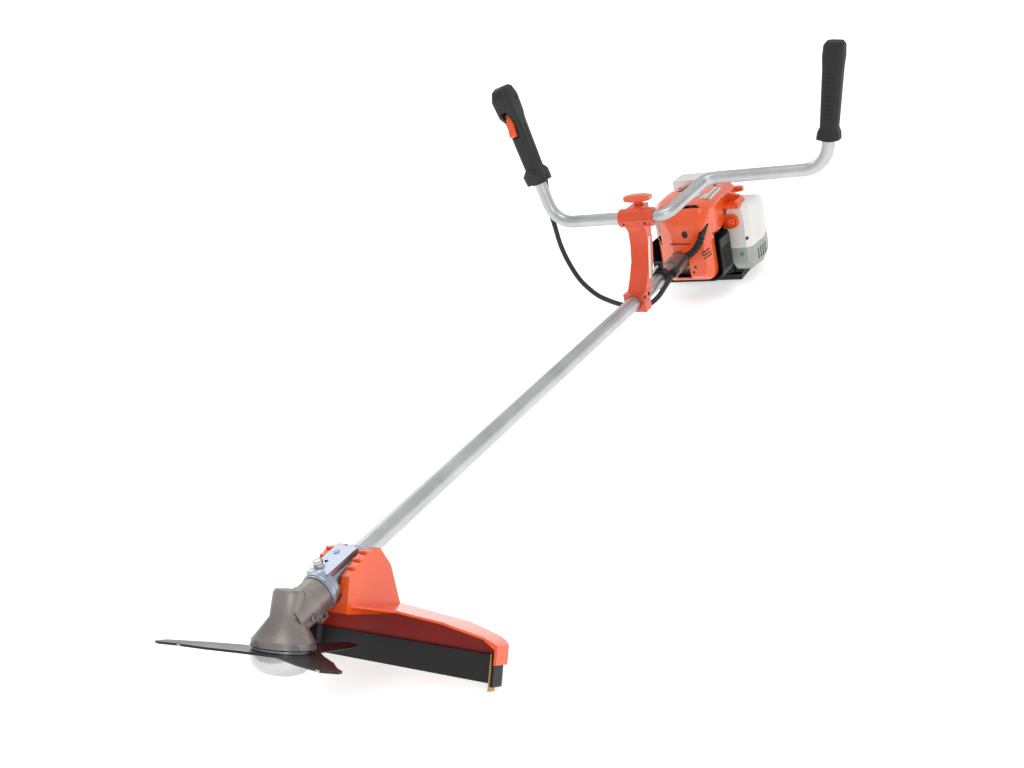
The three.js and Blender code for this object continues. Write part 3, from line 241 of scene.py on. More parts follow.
yellow_zinc = finish("steel_zinc_yellowed", "#C9A06A", "#A67F4D", (0.3, 0.42), 1.5, 0.02, metal=0.8)
felt = finish("filter_felt", "#4A4741", "#34322E", (0.85, 0.95), 0.6, 0.25)
rope_nylon = finish("braided_nylon_cord", "#3A3A3C", "#232325", (0.6, 0.75), 0.7, 0.15)
print("metals made")

# %% [markdown]
# ## Rounded edges on the frame's own parts
# A real moulding or casting has no knife edges: each has a radius that catches a line of light. The
# frame's meshes stay as they are, and three modifiers do the work. Weld joins the loose triangles,
# planar Decimate merges them into whole faces, and Bevel rounds every edge sharper than a limit.

# %% Finish and edge radius for each CAD node
SLOT_FINISH = {
    "orange_plastic": (orange_abs, 1.2),
    "orange_cast": (orange_enamel, 1.4),
    "red_plastic": (red_abs, 0.8),
    "white_plastic": (white_abs, 1.4),
    "grey_plastic": (grey_nylon, 1.2),
    "black_plastic": (black_nylon, 1.0),
    "black_rubber": (black_rubber, 0.8),
    "rope": (rope_nylon, 0.0),
    "filter_felt": (felt, 0.5),
    "cast_alloy": (cast_alloy, 0.9),
    "bright_alloy": (drawn_tube, 0.5),
    "sleeve_alloy": (blue_alloy, 0.6),
    "steel": (machined, 0.4),
    "blade_steel": (blade_steel, 0.7),
    "cutter_steel": (yellow_zinc, 0.3),
}
OWN_FINISH = {"rider_cup": polished, "harness_ring": polished}
slot_of = {s["node"]: s["material_slot"] for s in frame["record"]["subparts"]}


def round_edges(obj, radius_mm, limit_deg=32):
    """Welds, merges flat faces, rounds sharp edges and evens out the shading."""
    obj.modifiers.new("weld", "WELD").merge_threshold = 0.00001
    flat = obj.modifiers.new("flat_faces", "DECIMATE")
    flat.decimate_type = "DISSOLVE"
    flat.angle_limit = math.radians(0.4)
    if radius_mm > 0:
        bevel = obj.modifiers.new("edges", "BEVEL")
        bevel.width = radius_mm * MM
        bevel.segments = 2
        bevel.limit_method = "ANGLE"
        bevel.angle_limit = math.radians(limit_deg)
    obj.modifiers.new("shading", "WEIGHTED_NORMAL").keep_sharp = True
    obj.data.shade_smooth()


for name, obj in nodes.items():
    material, radius = SLOT_FINISH[slot_of[name]]
    obj.data.materials.clear()
    obj.data.materials.append(OWN_FINISH.get(name, material))
    round_edges(obj, radius)
print("finished", len(nodes), "nodes")

# %% [markdown]
# ## The throttle cable
# One sleeve carries the throttle wire and the stop switch's wires from the right grip, down beside
# the column, under the shaft and back up into the engine. It is a round tube about one smooth line,
# so a curve draws it and is then made a mesh.

# %% Cable along its route
CABLE_R_MM = 5
CABLE_ROUTE_MM = [
    (1139, 196, 231), (1139, 195, 173), (1138, 191, 137), (1138, 186, 94), (1136, 173, 55), (1130, 151, 20),
    (1120, 117, -6), (1108, 84, -16), (1095, 49, -21), (1087, 15, -22), (1095, -8, -21), (1116, -20, -14),
    (1145, -26, -2), (1172, -30, 8), (1200, -33, 16), (1232, -38, 25), (1260, -46, 29), (1280, -53, 40),
    (1292, -58, 56), (1303, -59, 67), (1318, -57, 73), (1338, -56, 72), (1362, -57, 64), (1385, -58, 54),
    (1404, -58, 50),
]
STEPS_PER_SPAN = 6


def smooth_route(points, steps):
    """Points on a Catmull-Rom line through the given ones."""
    ends = [points[0] * 2 - points[1], *points, points[-1] * 2 - points[-2]]
    out = []
    for i in range(1, len(ends) - 2):
        a, b, c, d = ends[i - 1 : i + 3]
        for k in range(steps):
            t = k / steps
            out.append(
                0.5
                * (
                    2 * b
                    + (c - a) * t
                    + (2 * a - 5 * b + 4 * c - d) * t**2
                    + (3 * b - a - 3 * c + d) * t**3
                )
            )
    return [*out, points[-1]]


route = [SHAFT @ p for p in smooth_route([Vector(p) for p in CABLE_ROUTE_MM], STEPS_PER_SPAN)]
line = bpy.data.curves.new("cable_line", "CURVE")
line.dimensions = "3D"
line.bevel_depth = CABLE_R_MM * MM
line.bevel_resolution = 6
line.use_fill_caps = True
spline = line.splines.new("POLY")
spline.points.add(len(route) - 1)
for point, at in zip(spline.points, route):
    point.co = (*at, 1)
line_object = bpy.data.objects.new("cable_line", line)
cable = bpy.data.objects.new("throttle_cable_sleeve", bpy.data.meshes.new_from_object(line_object))
bpy.data.objects.remove(line_object)
bpy.context.scene.collection.objects.link(cable)
cable.data.materials.clear()
cable.data.materials.append(cable_pvc)
cable.data.shade_smooth()
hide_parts("throttle_cable")
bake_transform(cable)

# %% [markdown]
# ## Small helpers for new pieces
# Most details are screws, ribs and rims that sit on a surface of the frame. A ray finds that surface
# and its direction, and the piece is then made in millimetres around its own origin with Z standing
# out of the surface. Each finished mesh holds its place in the room itself.

# %% Placing and finishing pieces


def keep(bm, name, place, material, body="frame", smooth_deg=35):
    """Turns a bmesh in millimetres into a finished piece in the room that rides on a body."""
    bmesh.ops.remove_doubles(bm, verts=bm.verts, dist=0.001)
    bmesh.ops.transform(bm, matrix=place, verts=bm.verts)
    bmesh.ops.recalc_face_normals(bm, faces=bm.faces)
    mesh = bpy.data.meshes.new(name)
    bm.to_mesh(mesh)
    bm.free()
    mesh.materials.append(material)
    mesh.shade_smooth()
    mesh.set_sharp_from_angle(angle=math.radians(smooth_deg))
    obj = bpy.data.objects.new(name, mesh)
    bpy.context.scene.collection.objects.link(obj)
    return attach(obj, body)


def seat(on, start, toward, base=SHAFT, spin_deg=0.0, along_dir=(1, 0, 0)):
    """A matrix at the first point of a CAD node met from start, with Z out of its surface."""
    origin = base @ Vector(start)
    heading = (base.to_3x3() @ Vector(toward)).normalized()
    hit, where, normal, _ = nodes[on].ray_cast(origin, heading)
    if not hit:
        raise ValueError(f"no surface of {on} from {start} toward {toward}")
    if normal.dot(heading) > 0:
        normal = -normal
    side = (base.to_3x3() @ Vector(along_dir)).normalized()
    side = (side - normal * side.dot(normal)).normalized()
    turned = Matrix((side, normal.cross(side), normal)).transposed().to_4x4()
    return (
        Matrix.Translation(where)
        @ turned
        @ Matrix.Rotation(math.radians(spin_deg), 4, "Z")
        @ Matrix.Scale(MM, 4)
    )


def rounded(bm, edges, width, segments=2):
    """Bevels edges with a round profile."""
    bmesh.ops.bevel(
        bm, geom=list(edges), offset=width, segments=segments, affect="EDGES", profile=0.5, material=-1,
        clamp_overlap=True,
    )


# %% [markdown]
# ## Screws and bolts
# The machine is held together by socket-head screws with a washer face, and by a few hexagon bolts.
# A head is a short cylinder whose top is inset and pushed in to make the socket, and its rim is
# bevelled, which is how the real one is turned and broached.

# %% Screw heads


def screw(name, place, radius, height, body="frame", material=black_screw, sides=24):
    """A head standing on a surface, with a six-sided socket. Six sides make it a hexagon bolt."""
    bm = bmesh.new()
    bmesh.ops.create_cone(
        bm, cap_ends=True, segments=sides, radius1=radius, radius2=radius, depth=height + 1,
        matrix=Matrix.Translation((0, 0, (height - 1) / 2)),
    )
    top = max(bm.faces, key=lambda f: f.calc_center_median().z)
    rounded(bm, top.edges, min(radius, height) * 0.16)
    top = max(bm.faces, key=lambda f: f.calc_center_median().z)
    if sides > 6:
        bmesh.ops.inset_region(bm, faces=[top], thickness=radius * 0.42, use_even_offset=True)
        bmesh.ops.translate(bm, vec=(0, 0, -height * 0.45), verts=top.verts)
    bmesh.ops.create_cone(
        bm, cap_ends=True, segments=28, radius1=radius * 1.3, radius2=radius * 1.25, depth=1.2,
        matrix=Matrix.Translation((0, 0, 0.3)),
    )
    return keep(bm, name, place, material, body)


# %% [markdown]
# ## Ribs, bars and plates
# A rib is a block with rounded edges, sunk a little into its surface so that no gap shows. The same
# maker gives thin plates, such as a plain coloured strip, by giving it a small height.

# %% Rounded block


def block(name, place, size, material, body="frame", edge=0.6, sink=0.4, taper=1.0):
    """A block of size (x, y, z) whose foot lies sink below the place's origin."""
    bm = bmesh.new()
    bmesh.ops.create_cube(bm, size=1)
    for v in bm.verts:
        shrink = taper if v.co.z > 0 else 1.0
        v.co = Vector((
            v.co.x * size[0] * shrink, v.co.y * size[1] * shrink,
            (v.co.z + 0.5) * (size[2] + sink) - sink,
        ))
    rounded(bm, bm.edges, edge, 3)
    return keep(bm, name, place, material, body)


# %% [markdown]
# ## Collars and rims
# Anything turned, such as a collar, a boot or a knob, is a profile spun about its axis. The profile
# is a closed line of radius and height, so that the spin gives a closed ring.

# %% Turned ring


def turned(name, place, profile, material, slot, body="frame", steps=48):
    """Spins a closed profile of (radius, height) about Z."""
    bm = bmesh.new()
    verts = [bm.verts.new((r, 0, h)) for r, h in profile]
    loop = [bm.edges.new((verts[i], verts[(i + 1) % len(verts)])) for i in range(len(verts))]
    bmesh.ops.spin(
        bm, geom=verts + loop, cent=(0, 0, 0), axis=(0, 0, 1), angle=math.tau, steps=steps, use_merge=True,
    )
    return keep(bm, name, place, material, body)


def about(base, at, direction, side=(0, 1, 0)):
    """A matrix at a point of a working frame whose Z runs along a direction of that frame."""
    z = (base.to_3x3() @ Vector(direction)).normalized()
    x = (base.to_3x3() @ Vector(side)).normalized()
    x = (x - z * x.dot(z)).normalized()
    turned_to = Matrix((x, z.cross(x), z)).transposed().to_4x4()
    return Matrix.Translation(base @ Vector(at)) @ turned_to @ Matrix.Scale(MM, 4)


print("helpers ready")

# %% [markdown]
# ## The gear head
# The casting carries a clamp screw through the split lug under its neck, a grease plug, and a thin
# machined ring around the lower band. Short pads stand around the band's lower edge, where the
# casting was spot-faced. The guard's bracket is held by a hexagon bolt on its flat plate.

# %% Gear head details
LUG = (53, 8, -27.5)
screw("neck_clamp_screw", about(SHAFT, (LUG[0], -LUG[1], LUG[2]), (0, -1, 0)), 4.2, 4.5)
screw("neck_clamp_nut", about(SHAFT, LUG, (0, 1, 0)), 4.6, 3.5, material=machined, sides=6)
screw("grease_plug", seat("gearhead_housing", (20, -80, -4), (0, 1, 0)), 4.0, 2.5, material=machined, sides=6)
screw("head_top_plug", seat("gearhead_housing", (0, 0, 120), (0, 0, -1), HEAD), 5.0, 0.2, material=machined)
screw("bracket_bolt", seat("guard_bracket", (88, 12, 80), (0, 0, -1)), 6.8, 7.5, material=polished, sides=6)
screw("bracket_bolt_rear", seat("guard_bracket", (120, 8, 80), (0, 0, -1)), 3.4, 1.0, material=machined)
BAND_R, BAND_LOW = 38.7, 6.0
turned(
    "band_ring", about(HEAD, (0, 0, BAND_LOW + 7.2), (0, 0, 1)),
    [(BAND_R - 1, -0.8), (BAND_R + 0.6, -0.5), (BAND_R + 0.6, 0.5), (BAND_R - 1, 0.8)], machined, "steel",
)
PADS = 12
for k in range(PADS):
    angle = math.tau * (k + 0.5) / PADS
    outward = (math.cos(angle), math.sin(angle), 0)
    at = (BAND_R * outward[0] * 0.997, BAND_R * outward[1] * 0.997, BAND_LOW + 1.2)
    block(f"band_pad_{k}", about(HEAD, at, outward, (0, 0, 1)), (2.2, 5.0, 0.6), machined, edge=0.25)
turned(
    "neck_collar", about(SHAFT, (66, 0, 0), (1, 0, 0)),
    [(23.5, -3), (25.2, -3), (25.6, -2), (25.6, 2), (25.2, 3), (23.5, 3)], blue_alloy, "sleeve_alloy",
)
print("gear head finished")

# %% [markdown]
# ## The blade's ground edges
# Each arm of the blade is ground along both sides, which leaves a lighter, brighter band beside the
# dark skin. A thin rail along each long side, no thicker than the blade's own rounding, shows it.
# The rider cup below has a wear pad, and the nut's rim shows at its middle.

# %% Ground edges
BLADE_PHASE_DEG = 7.6
for k in range(3):
    turn_z = Matrix.Rotation(math.radians(BLADE_PHASE_DEG + 120 * k), 4, "Z")
    for side, (start, end) in {"lead": ((58, -26.2), (138, -20.2)), "trail": ((60, 24), (122, 9.6))}.items():
        a, b = Vector((*start, 0)), Vector((*end, 0))
        middle = turn_z @ ((a + b) / 2)
        run = turn_z @ (b - a).normalized()
        name = f"blade_edge_{side}_{k}"
        block(
            name, about(HEAD, middle, (0, 0, 1), run), ((b - a).length, 1.2, 1.0), polished,
            "blade", 0.4, 1.0,
        )
turned(
    "rider_wear_pad", about(HEAD, (0, 0, -26.9), (0, 0, 1)),
    [(4, 0.6), (4, -0.1), (12, -0.3), (13, 0.6)], machined, "steel", "blade",
)
print("blade finished")

# %% [markdown]
# ## The guard
# The guard is one orange moulding whose inside lies in its own shade, so it looks a deep red there.
# The faces that look inwards are given a deep red that paints this shade onto the same orange plastic.
# Two cheeks on the saddle carry three grip ridges each, and a row of screws holds the black skirt to
# the wall from behind.

# %% Painted shade inside, ridges and screws
# Painted shade: a deep red darker copy of the orange plastic, standing for the shade that falls inside the guard.
orange_painted_shade = finish("orange_abs_painted_shade_inside", "#A01808", "#7E0F06", (0.5, 0.62), 2.2, 0.004, drift_mm=90)
guard = nodes["guard_shield"]
guard.data.materials.append(orange_painted_shade)
GUARD_WALL_X, GUARD_LEFT, GUARD_RIGHT = 183, -207, 104
into_head = HEAD.inverted()
inside_count = 0
# Faces that look into the guard or face downwards get the painted shade.
for face in guard.data.polygons:
    at = into_head @ face.center
    facing = (into_head.to_3x3() @ face.normal).normalized()
    inner_wall = facing.x < -0.5 and at.x > GUARD_WALL_X - 20
    inner_side = abs(facing.y) > 0.5 and (
        GUARD_LEFT + 1.5 < at.y < GUARD_LEFT + 8 or GUARD_RIGHT - 8 < at.y < GUARD_RIGHT - 1.5
    )
    if inner_wall or inner_side or facing.z < -0.4:
        face.material_index = 1
        inside_count += 1
guard.modifiers["flat_faces"].delimit = {"MATERIAL"}
print(inside_count, "inner faces")
for side in (-27, 27):
    for k, x in enumerate((78, 88, 98)):
        place = seat("guard_shield", (x, side, 170), (0, 0, -1), HEAD)
        block(
            f"saddle_ridge_{k}_{'left' if side < 0 else 'right'}", place, (4.2, 12, 3.2),
            orange_abs, edge=1.2,
        )
for k, y in enumerate((-190, -130, -70, 60, 90)):
    screw(f"skirt_screw_{k}", seat("guard_shield", (300, y, 9), (-1, 0, 0), HEAD), 3.6, 1.6)
screw("cutter_screw", seat("line_cutter", (156, -150, 8), (0, -1, 0), HEAD), 2.6, 1.6)
print("guard finished")

# %% [markdown]
# ## The column and its clamp
# The column is a casting that bows back from the shaft and carries the handlebar. Its clamp has a
# raised rim at each end, two countersunk screws in the lower half, and a plain pale strip down the
# side. The wing knob's hub has flutes for the fingers.

# %% Column details
CLAMP_S, CLAMP_N = 1119.3, 148.6
for end, y in {"right": 29.6, "left": -37.6}.items():
    turned(
        f"clamp_rim_{end}", about(SHAFT, (CLAMP_S, y, CLAMP_N), (0, 1, 0)),
        [(13, -1.3), (18.6, -1.3), (19.3, -0.6), (19.3, 0.6), (18.6, 1.3), (13, 1.3)],
        orange_enamel, "orange_cast",
    )
for k, y in enumerate((20, -24)):
    place = seat("handle_support", (CLAMP_S - 90, y, CLAMP_N - 8), (1, 0, 0))
    screw(f"clamp_screw_{k}", place, 1.7, 0.5)
strip_at = (1106, -21, 72)
block(
    "column_pale_strip", about(SHAFT, strip_at, (0, -1, 0), (0.32, 0, 0.95)), (80, 9, 0.7),
    white_abs,
    edge=0.25, sink=0.3,
)
for k, (s, y) in enumerate(((1056, 24), (1072, 24), (1056, -25), (1072, -25))):
    place = seat("support_foot_cap", (s, y * 0.7, -80), (0, 0, 1))
    screw(f"foot_screw_{k}", place, 3.4, 1.4)
for k, s in enumerate((1056, 1074)):
    place = seat("handle_support", (s, -80, 9), (0, 1, 0))
    screw(f"foot_side_screw_{k}", place, 3.0, 1.2)
for k in range(10):
    angle = math.tau * k / 10
    outward = (math.cos(angle), math.sin(angle), 0)
    at = (CLAMP_S + 22 + 7.9 * outward[0], 7.9 * outward[1], CLAMP_N + 23.6)
    block(
        f"knob_flute_{k}", about(SHAFT, at, outward, (0, 0, 1)), (5, 1.8, 1.0), orange_abs,
        "clamp_screw", 0.4,
    )
print("column finished")

# %% [markdown]
# ## The grips
# The left grip is a rubber sleeve with finger ribs. The right grip is two nylon halves held by
# screws, with a raised seam, ribs on its lower part, a fin behind its collar and a stop button and
# lockout behind its head. Each rib is laid on the grip's own surface by a ray across the arm.

# %% Ribs, seam and screws on the grips
RIGHT_CORNER = Vector((CLAMP_S, 176, CLAMP_N))
LEFT_CORNER = Vector((CLAMP_S + 122, -339, CLAMP_N + 34))
RIGHT_UP = Vector((0, math.sin(math.radians(11.7)), math.cos(math.radians(11.7))))
LEFT_UP = Vector((0, -math.sin(math.radians(9.5)), math.cos(math.radians(9.5))))


def on_grip(grip, corner, up_arm, far, toward, spin_deg=0.0):
    """A place on a grip's surface, far millimetres up its arm, on the side that toward comes from."""
    start = corner + up_arm * far - Vector(toward) * 80
    return seat(grip, start, toward, spin_deg=spin_deg, along_dir=tuple(up_arm))


for k in range(11):
    far = 92 + 8 * k
    for face, toward in {"front": (1, 0, 0), "rear": (-1, 0, 0)}.items():
        place = on_grip("left_grip", LEFT_CORNER, LEFT_UP, far, toward)
        block(f"left_rib_{face}_{k}", place, (3.2, 15, 1.0), black_rubber, "handlebar", 0.45)
for k in range(7):
    far = 124 + 8 * k
    place = on_grip("throttle_grip", RIGHT_CORNER, RIGHT_UP, far, (-1, 0, 0))
    block(f"right_rib_{k}", place, (3.2, 15, 1.0), black_nylon, "handlebar", 0.45)
for side, toward in {"out": (0, -1, 0), "in": (0, 1, 0)}.items():
    for k, far in enumerate((135, 165, 195)):
        place = on_grip("throttle_grip", RIGHT_CORNER, RIGHT_UP, far, toward)
        block(
            f"right_seam_{side}_{k}", place, (29.5, 1.6, 0.7), black_nylon,
            "handlebar", 0.3,
        )
    for k, far in enumerate((99, 262)):
        place = on_grip("throttle_grip", RIGHT_CORNER, RIGHT_UP, far, toward)
        screw(f"right_screw_{side}_{k}", place, 2.8, 0.8, "handlebar")
place = on_grip("throttle_grip", RIGHT_CORNER, RIGHT_UP, 98, (-1, 0, 0))
block("collar_fin", place, (16, 5, 9), black_nylon, "handlebar", 1.4, 1.0, taper=0.75)
for k in range(4):
    place = on_grip("throttle_trigger", RIGHT_CORNER, RIGHT_UP, 196 + 7 * k, (1, 0, 0))
    block(f"trigger_rib_{k}", place, (2.0, 8, 0.9), orange_abs, "trigger", 0.4)
place = on_grip("stop_button", RIGHT_CORNER, RIGHT_UP, 260, (-1, 0, 0))
screw("stop_button_cap", place, 3.6, 0.8, "stop", red_abs)
for name, corner, up_arm, far in (("left", LEFT_CORNER, LEFT_UP, 54), ("right", RIGHT_CORNER, RIGHT_UP, 87)):
    turned(
        f"{name}_bar_ring", about(SHAFT, corner + up_arm * far, tuple(up_arm)),
        [(12, -2), (15.5, -2), (16.5, 0), (16.5, 1.5), (12, 1.5)], black_rubber, "black_rubber", "handlebar",
    )
print("grips finished")

# %% [markdown]
# ## The cable's boot and sleeve
# The cable leaves the grip through a tapered rubber boot, and a ribbed sleeve protects it where the
# shaft's clamp holds it.

# %% Boot, sleeve and clamp screws


def route_frame(part):
    """The point and direction of the cable, part of the way along it, in the shaft's frame."""
    i = round(part * (len(route) - 2))
    to_shaft = SHAFT.inverted()
    a, b = to_shaft @ route[i], to_shaft @ route[i + 1]
    return a, (b - a).normalized()


at, heading = route_frame(0.0)
turned(
    "cable_boot_grip", about(SHAFT, at, tuple(heading)),
    [(5.0, -3), (8.5, -3), (8.5, 2), (7.6, 10), (6.4, 24), (5.6, 34), (5.0, 34)], black_rubber,
    "black_rubber", "handlebar",
)
for k in range(9):
    at, heading = route_frame(0.645 + 0.011 * k)
    turned(
        f"cable_sleeve_{k}", about(SHAFT, at, tuple(heading)),
        [(4.8, -2.4), (6.6, -2.4), (7.6, -1.2), (7.6, 1.2), (6.6, 2.4), (4.8, 2.4)], black_rubber,
        "black_rubber",
    )
screw("harness_clamp_screw", seat("harness_clamp", (1185, 80, 0), (0, -1, 0)), 3.4, 3.0)
screw("harness_clamp_screw_low", seat("harness_clamp", (1185, 0, -80), (0, 0, 1)), 3.4, 2.0)
print("cable dressed")

# %% [markdown]
# ## The engine's orange shroud
# The shroud is the machine's face: a glossy moulding with a round access hole, a recess below it
# with a crease along its top drawn as a strip of painted shade, slanted cooling slots, two pale stripes
# with a grey one over its crown, and small screws. Each detail is laid where a line of sight from in
# front meets the shroud.

# %% Shroud details


def seen(on, s, y, n, spin_deg=0.0, along_dir=(0, -1, 0)):
    """A place on a node where the line from the front view through a shaft point meets it."""
    return seat(on, CAMERA_MM, Vector((s, y, n)) - CAMERA_MM, spin_deg=spin_deg, along_dir=along_dir)


def port(
    name, place, radius, stretch_y=1.0, rim=1.4, body="frame", rim_finish=orange_abs,
    slot="orange_plastic",
):
    """A round or oval opening: a raised rim around a dark floor."""
    wide = place @ Matrix.Diagonal((1, stretch_y, 1, 1))
    turned(
        name + "_rim", wide,
        [(radius, -0.4), (radius + rim, -0.4), (radius + rim * 0.8, 0.5), (radius + 0.2, 0.5)],
        rim_finish, slot, body,
    )
    bm = bmesh.new()
    bmesh.ops.create_cone(
        bm, cap_ends=True, segments=28, radius1=radius + 0.3, radius2=radius + 0.3, depth=0.5,
    )
    keep(bm, name + "_dark", wide, black_nylon, body)


def strip(name, on, first, last, width, material, slot, count=5):
    """A thin flat strip laid on a node between two points seen from the front."""
    spots = [Vector(first).lerp(Vector(last), (i + 0.5) / count) for i in range(count)]
    hits = [seen(on, 1310, spot.x, spot.y).translation for spot in spots]
    run = SHAFT.to_3x3().inverted() @ (hits[-1] - hits[0])
    length = run.length / (count - 1) + 0.3
    for i, spot in enumerate(spots):
        place = seen(on, 1310, spot.x, spot.y, along_dir=tuple(run))
        block(f"{name}_{i}", place, (length, width, 0.4), material, edge=0.15, sink=0.6)


port("access_hole", seen("engine_shroud", 1310, -11, 50), 6.4, 1.2)
for k, ends in enumerate((((-42, 7), (-62, 19)), ((-44, 2), (-63, 12)), ((-47, -4), (-64, 6)))):
    strip(f"cooling_slot_{k}", "engine_shroud", *ends, 2.6, black_nylon, "black_plastic", 2)
for k, (y, n) in enumerate(((-19, -33), (-24, -22))):
    port(f"small_hole_{k}", seen("engine_shroud", 1310, y, n), 2.6, 1.0, 0.8)
port("screw_hole", seen("engine_shroud", 1310, -73, 50), 2.4, 1.0, 0.9)
# The crease is painted shade: a thin deep-red strip where the top edge of the recess falls into shade.
strip("front_crease_painted_shade", "engine_shroud", (24, 31), (-20, 29), 3.4, orange_painted_shade, "orange_plastic", 4)
STRIPES = ((0, 4.6, white_abs), (5, 5.6, grey_nylon), (11, 4.6, white_abs))
for k, (shift, width, material) in enumerate(STRIPES):
    strip(
        f"crown_stripe_{k}", "engine_shroud", (-66 - shift, 125 - shift * 0.2),
        (-95 - shift * 0.7, 146 - shift * 0.2), width, material, "white_plastic",
    )
    strip(
        f"low_stripe_{k}", "engine_shroud", (-46 - shift, 128 - shift * 0.2),
        (-60 - shift, 136 - shift * 0.2), width, material, "white_plastic", 3,
    )
for k, (s, y) in enumerate(((1440, 40), (1440, -40))):
    screw(f"shroud_screw_{k}", seat("engine_shroud", (s, y, 200), (0, 0, -1)), 3.2, 0.8)
for k in range(6):
    place = seat("engine_shroud", (1372 + 12 * k, 160, 70), (0, -1, 0), along_dir=(0.25, 0, 1))
    block(f"side_slot_{k}", place, (30, 3.0, 0.5), black_nylon, edge=0.2, sink=0.5)
for k in range(7):
    place = seat("engine_shroud", (1400 + 9 * k, 8, 200), (0, 0, -1), along_dir=(0, 1, 0))
    block(f"top_louvre_{k}", place, (46, 3.0, 0.5), black_nylon, edge=0.2, sink=0.5)
print("shroud finished")

# %% [markdown]
# ## The filter cover, knob and engine block
# The off-white cover and its grey lower half meet at a seam, with a screw hole in the upper one and a
# small green drain plug in the lower one. The knob has a raised ring and a bar for the fingers. Around
# the engine sit the fan grille, the starter's louvres, the muffler's slots, the primer bulb and the fuel line.

# %% Covers and knob
KNOB = (1397, -83, 46)
turned(
    "knob_ring", about(SHAFT, (KNOB[0] - 1, KNOB[1], KNOB[2]), (-1, 0, 0)),
    [(10.2, -0.6), (13.4, -0.6), (13.8, 0.6), (13.0, 2.2), (10.6, 2.2)], orange_abs, "orange_plastic",
)
block(
    "knob_bar", about(SHAFT, (KNOB[0] - 8, KNOB[1], KNOB[2]), (-1, 0, 0), (0, 1, 0.4)),
    (15, 3.4, 2.2), orange_abs, "cover_latch", 0.9,
)
port(
    "cover_screw_hole", seen("filter_cover_upper", 1388, -115, 11), 3.8, 1.0, 0.6,
    rim_finish=white_abs, slot="white_plastic",
)
green_plug = finish("green_drain_plug", "#2E9A74", "#23805F", (0.35, 0.45), 1.5, 0.01)
screw(
    "drain_plug", seen("filter_cover_lower", 1347, -115, -10), 3.2, 0.8, material=green_plug,
)
for k in range(5):
    place = seat("filter_cover_lower", (1440 + 12 * k, -260, -40), (0, 1, 0), along_dir=(0, 0, 1))
    block(f"cover_louvre_{k}", place, (24, 3.2, 0.5), black_nylon, edge=0.2, sink=0.5)

# %% Starter, fan and muffler
for k in range(14):
    angle = math.tau * k / 14
    y, n = 26 * math.cos(angle), 26 * math.sin(angle)
    place = seat("starter_housing", (1620, y, n), (-1, 0, 0), along_dir=(0, math.cos(angle), math.sin(angle)))
    block(f"starter_louvre_{k}", place, (16, 3.0, 0.9), black_nylon, edge=0.4)
turned(
    "starter_boss", seat("starter_housing", (1620, 0, 0), (-1, 0, 0)),
    [(0.01, -0.4), (13, -0.4), (13, 1.0), (11, 2.0), (4, 2.0), (3, 1.2), (0.01, 1.2)], black_nylon,
    "black_plastic",
)
for k, (y, n) in enumerate(((36, 0), (-18, 31), (-18, -31), (18, 31))):
    screw(f"starter_screw_{k}", seat("starter_housing", (1620, y, n), (-1, 0, 0)), 3.2, 1.6)
for k in range(8):
    for side, start in {"right": 200, "left": -200}.items():
        s = 1332 + 6 * k
        place = seat("fan_housing", (s, start, -14), (0, -1 if start > 0 else 1, 0), along_dir=(0, 0, 1))
        block(f"fan_grille_{side}_{k}", place, (48, 2.0, 1.2), black_nylon, edge=0.5)
for k in range(6):
    place = seat("muffler_guard", (1500 + 8 * k, 200, 96), (0, -1, 0), along_dir=(0, 0, 1))
    block(f"muffler_side_slot_{k}", place, (30, 3.2, 0.4), black_nylon, edge=0.15, sink=0.4)
turned(
    "exhaust_spout", about(SHAFT, (1540, 58, 98), (1, 0, 0)),
    [(5.2, -2), (7.4, -2), (7.4, 4), (6.6, 5), (5.2, 5)], machined, "steel",
)
for k, (y, n) in enumerate(((24, 66), (58, 66))):
    screw(
        f"muffler_screw_{k}", seat("muffler", (1640, y, n), (-1, 0, 0)), 3.4, 2.4,
        material=machined, sides=6,
    )

# %% Tank, base and fuel line
CAP = (1545, 96, -70)
for k in range(20):
    angle = math.tau * k / 20
    outward = (math.cos(angle), 0, math.sin(angle))
    at = (CAP[0] + 16.9 * outward[0], CAP[1] + 6.5, CAP[2] + 16.9 * outward[2])
    block(
        f"cap_rib_{k}", about(SHAFT, at, outward, (0, 1, 0)), (10, 2.2, 0.9), black_nylon,
        "tank_cap", 0.4,
    )
for k, (s, y, toward) in enumerate(((1470, 200, (0, -1, 0)), (1700, 20, (-1, 0, 0)), (1300, 20, (1, 0, 0)))):
    place = seat("fuel_tank", (s, y, -70), toward, along_dir=(1, 0, 0) if toward[1] else (0, 1, 0))
    block(f"tank_seam_{k}", place, (60, 1.6, 0.7), black_nylon, edge=0.3)
turned(
    "primer_bulb", about(SHAFT, (1386, -44, -22), (0, -1, 0)),
    [(0.01, 0), (9.5, 0), (9.5, 3), (8.6, 6.5), (6.2, 9.4), (3, 10.8), (0.01, 11.2)], grey_nylon,
    "grey_plastic",
)


def hose(name, points, radius, material):
    """A short fuel line fixed at both ends, as a round tube about a smooth line."""
    data = bpy.data.curves.new(name, "CURVE")
    data.dimensions = "3D"
    data.bevel_depth = radius * MM
    data.bevel_resolution = 4
    data.use_fill_caps = True
    run = smooth_route([Vector(p) for p in points], 6)
    one = data.splines.new("POLY")
    one.points.add(len(run) - 1)
    for point, where in zip(one.points, run):
        point.co = (*(SHAFT @ where), 1)
    drawn = bpy.data.objects.new(name + "_line", data)
    made = bpy.data.objects.new(name, bpy.data.meshes.new_from_object(drawn))
    bpy.data.objects.remove(drawn)
    bpy.context.scene.collection.objects.link(made)
    made.data.materials.clear()
    made.data.materials.append(material)
    made.data.shade_smooth()
    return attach(made, "frame")


FUEL_LINE_MM = [(1440, -50, -62), (1424, -50, -46), (1410, -50, -20), (1408, -56, 10), (1414, -60, 34)]
hose("fuel_line", FUEL_LINE_MM, 2.4, black_rubber)
line_length = sum((Vector(b) - Vector(a)).length for a, b in zip(FUEL_LINE_MM, FUEL_LINE_MM[1:]))
print("engine finished, fuel line about", round(line_length), "mm")

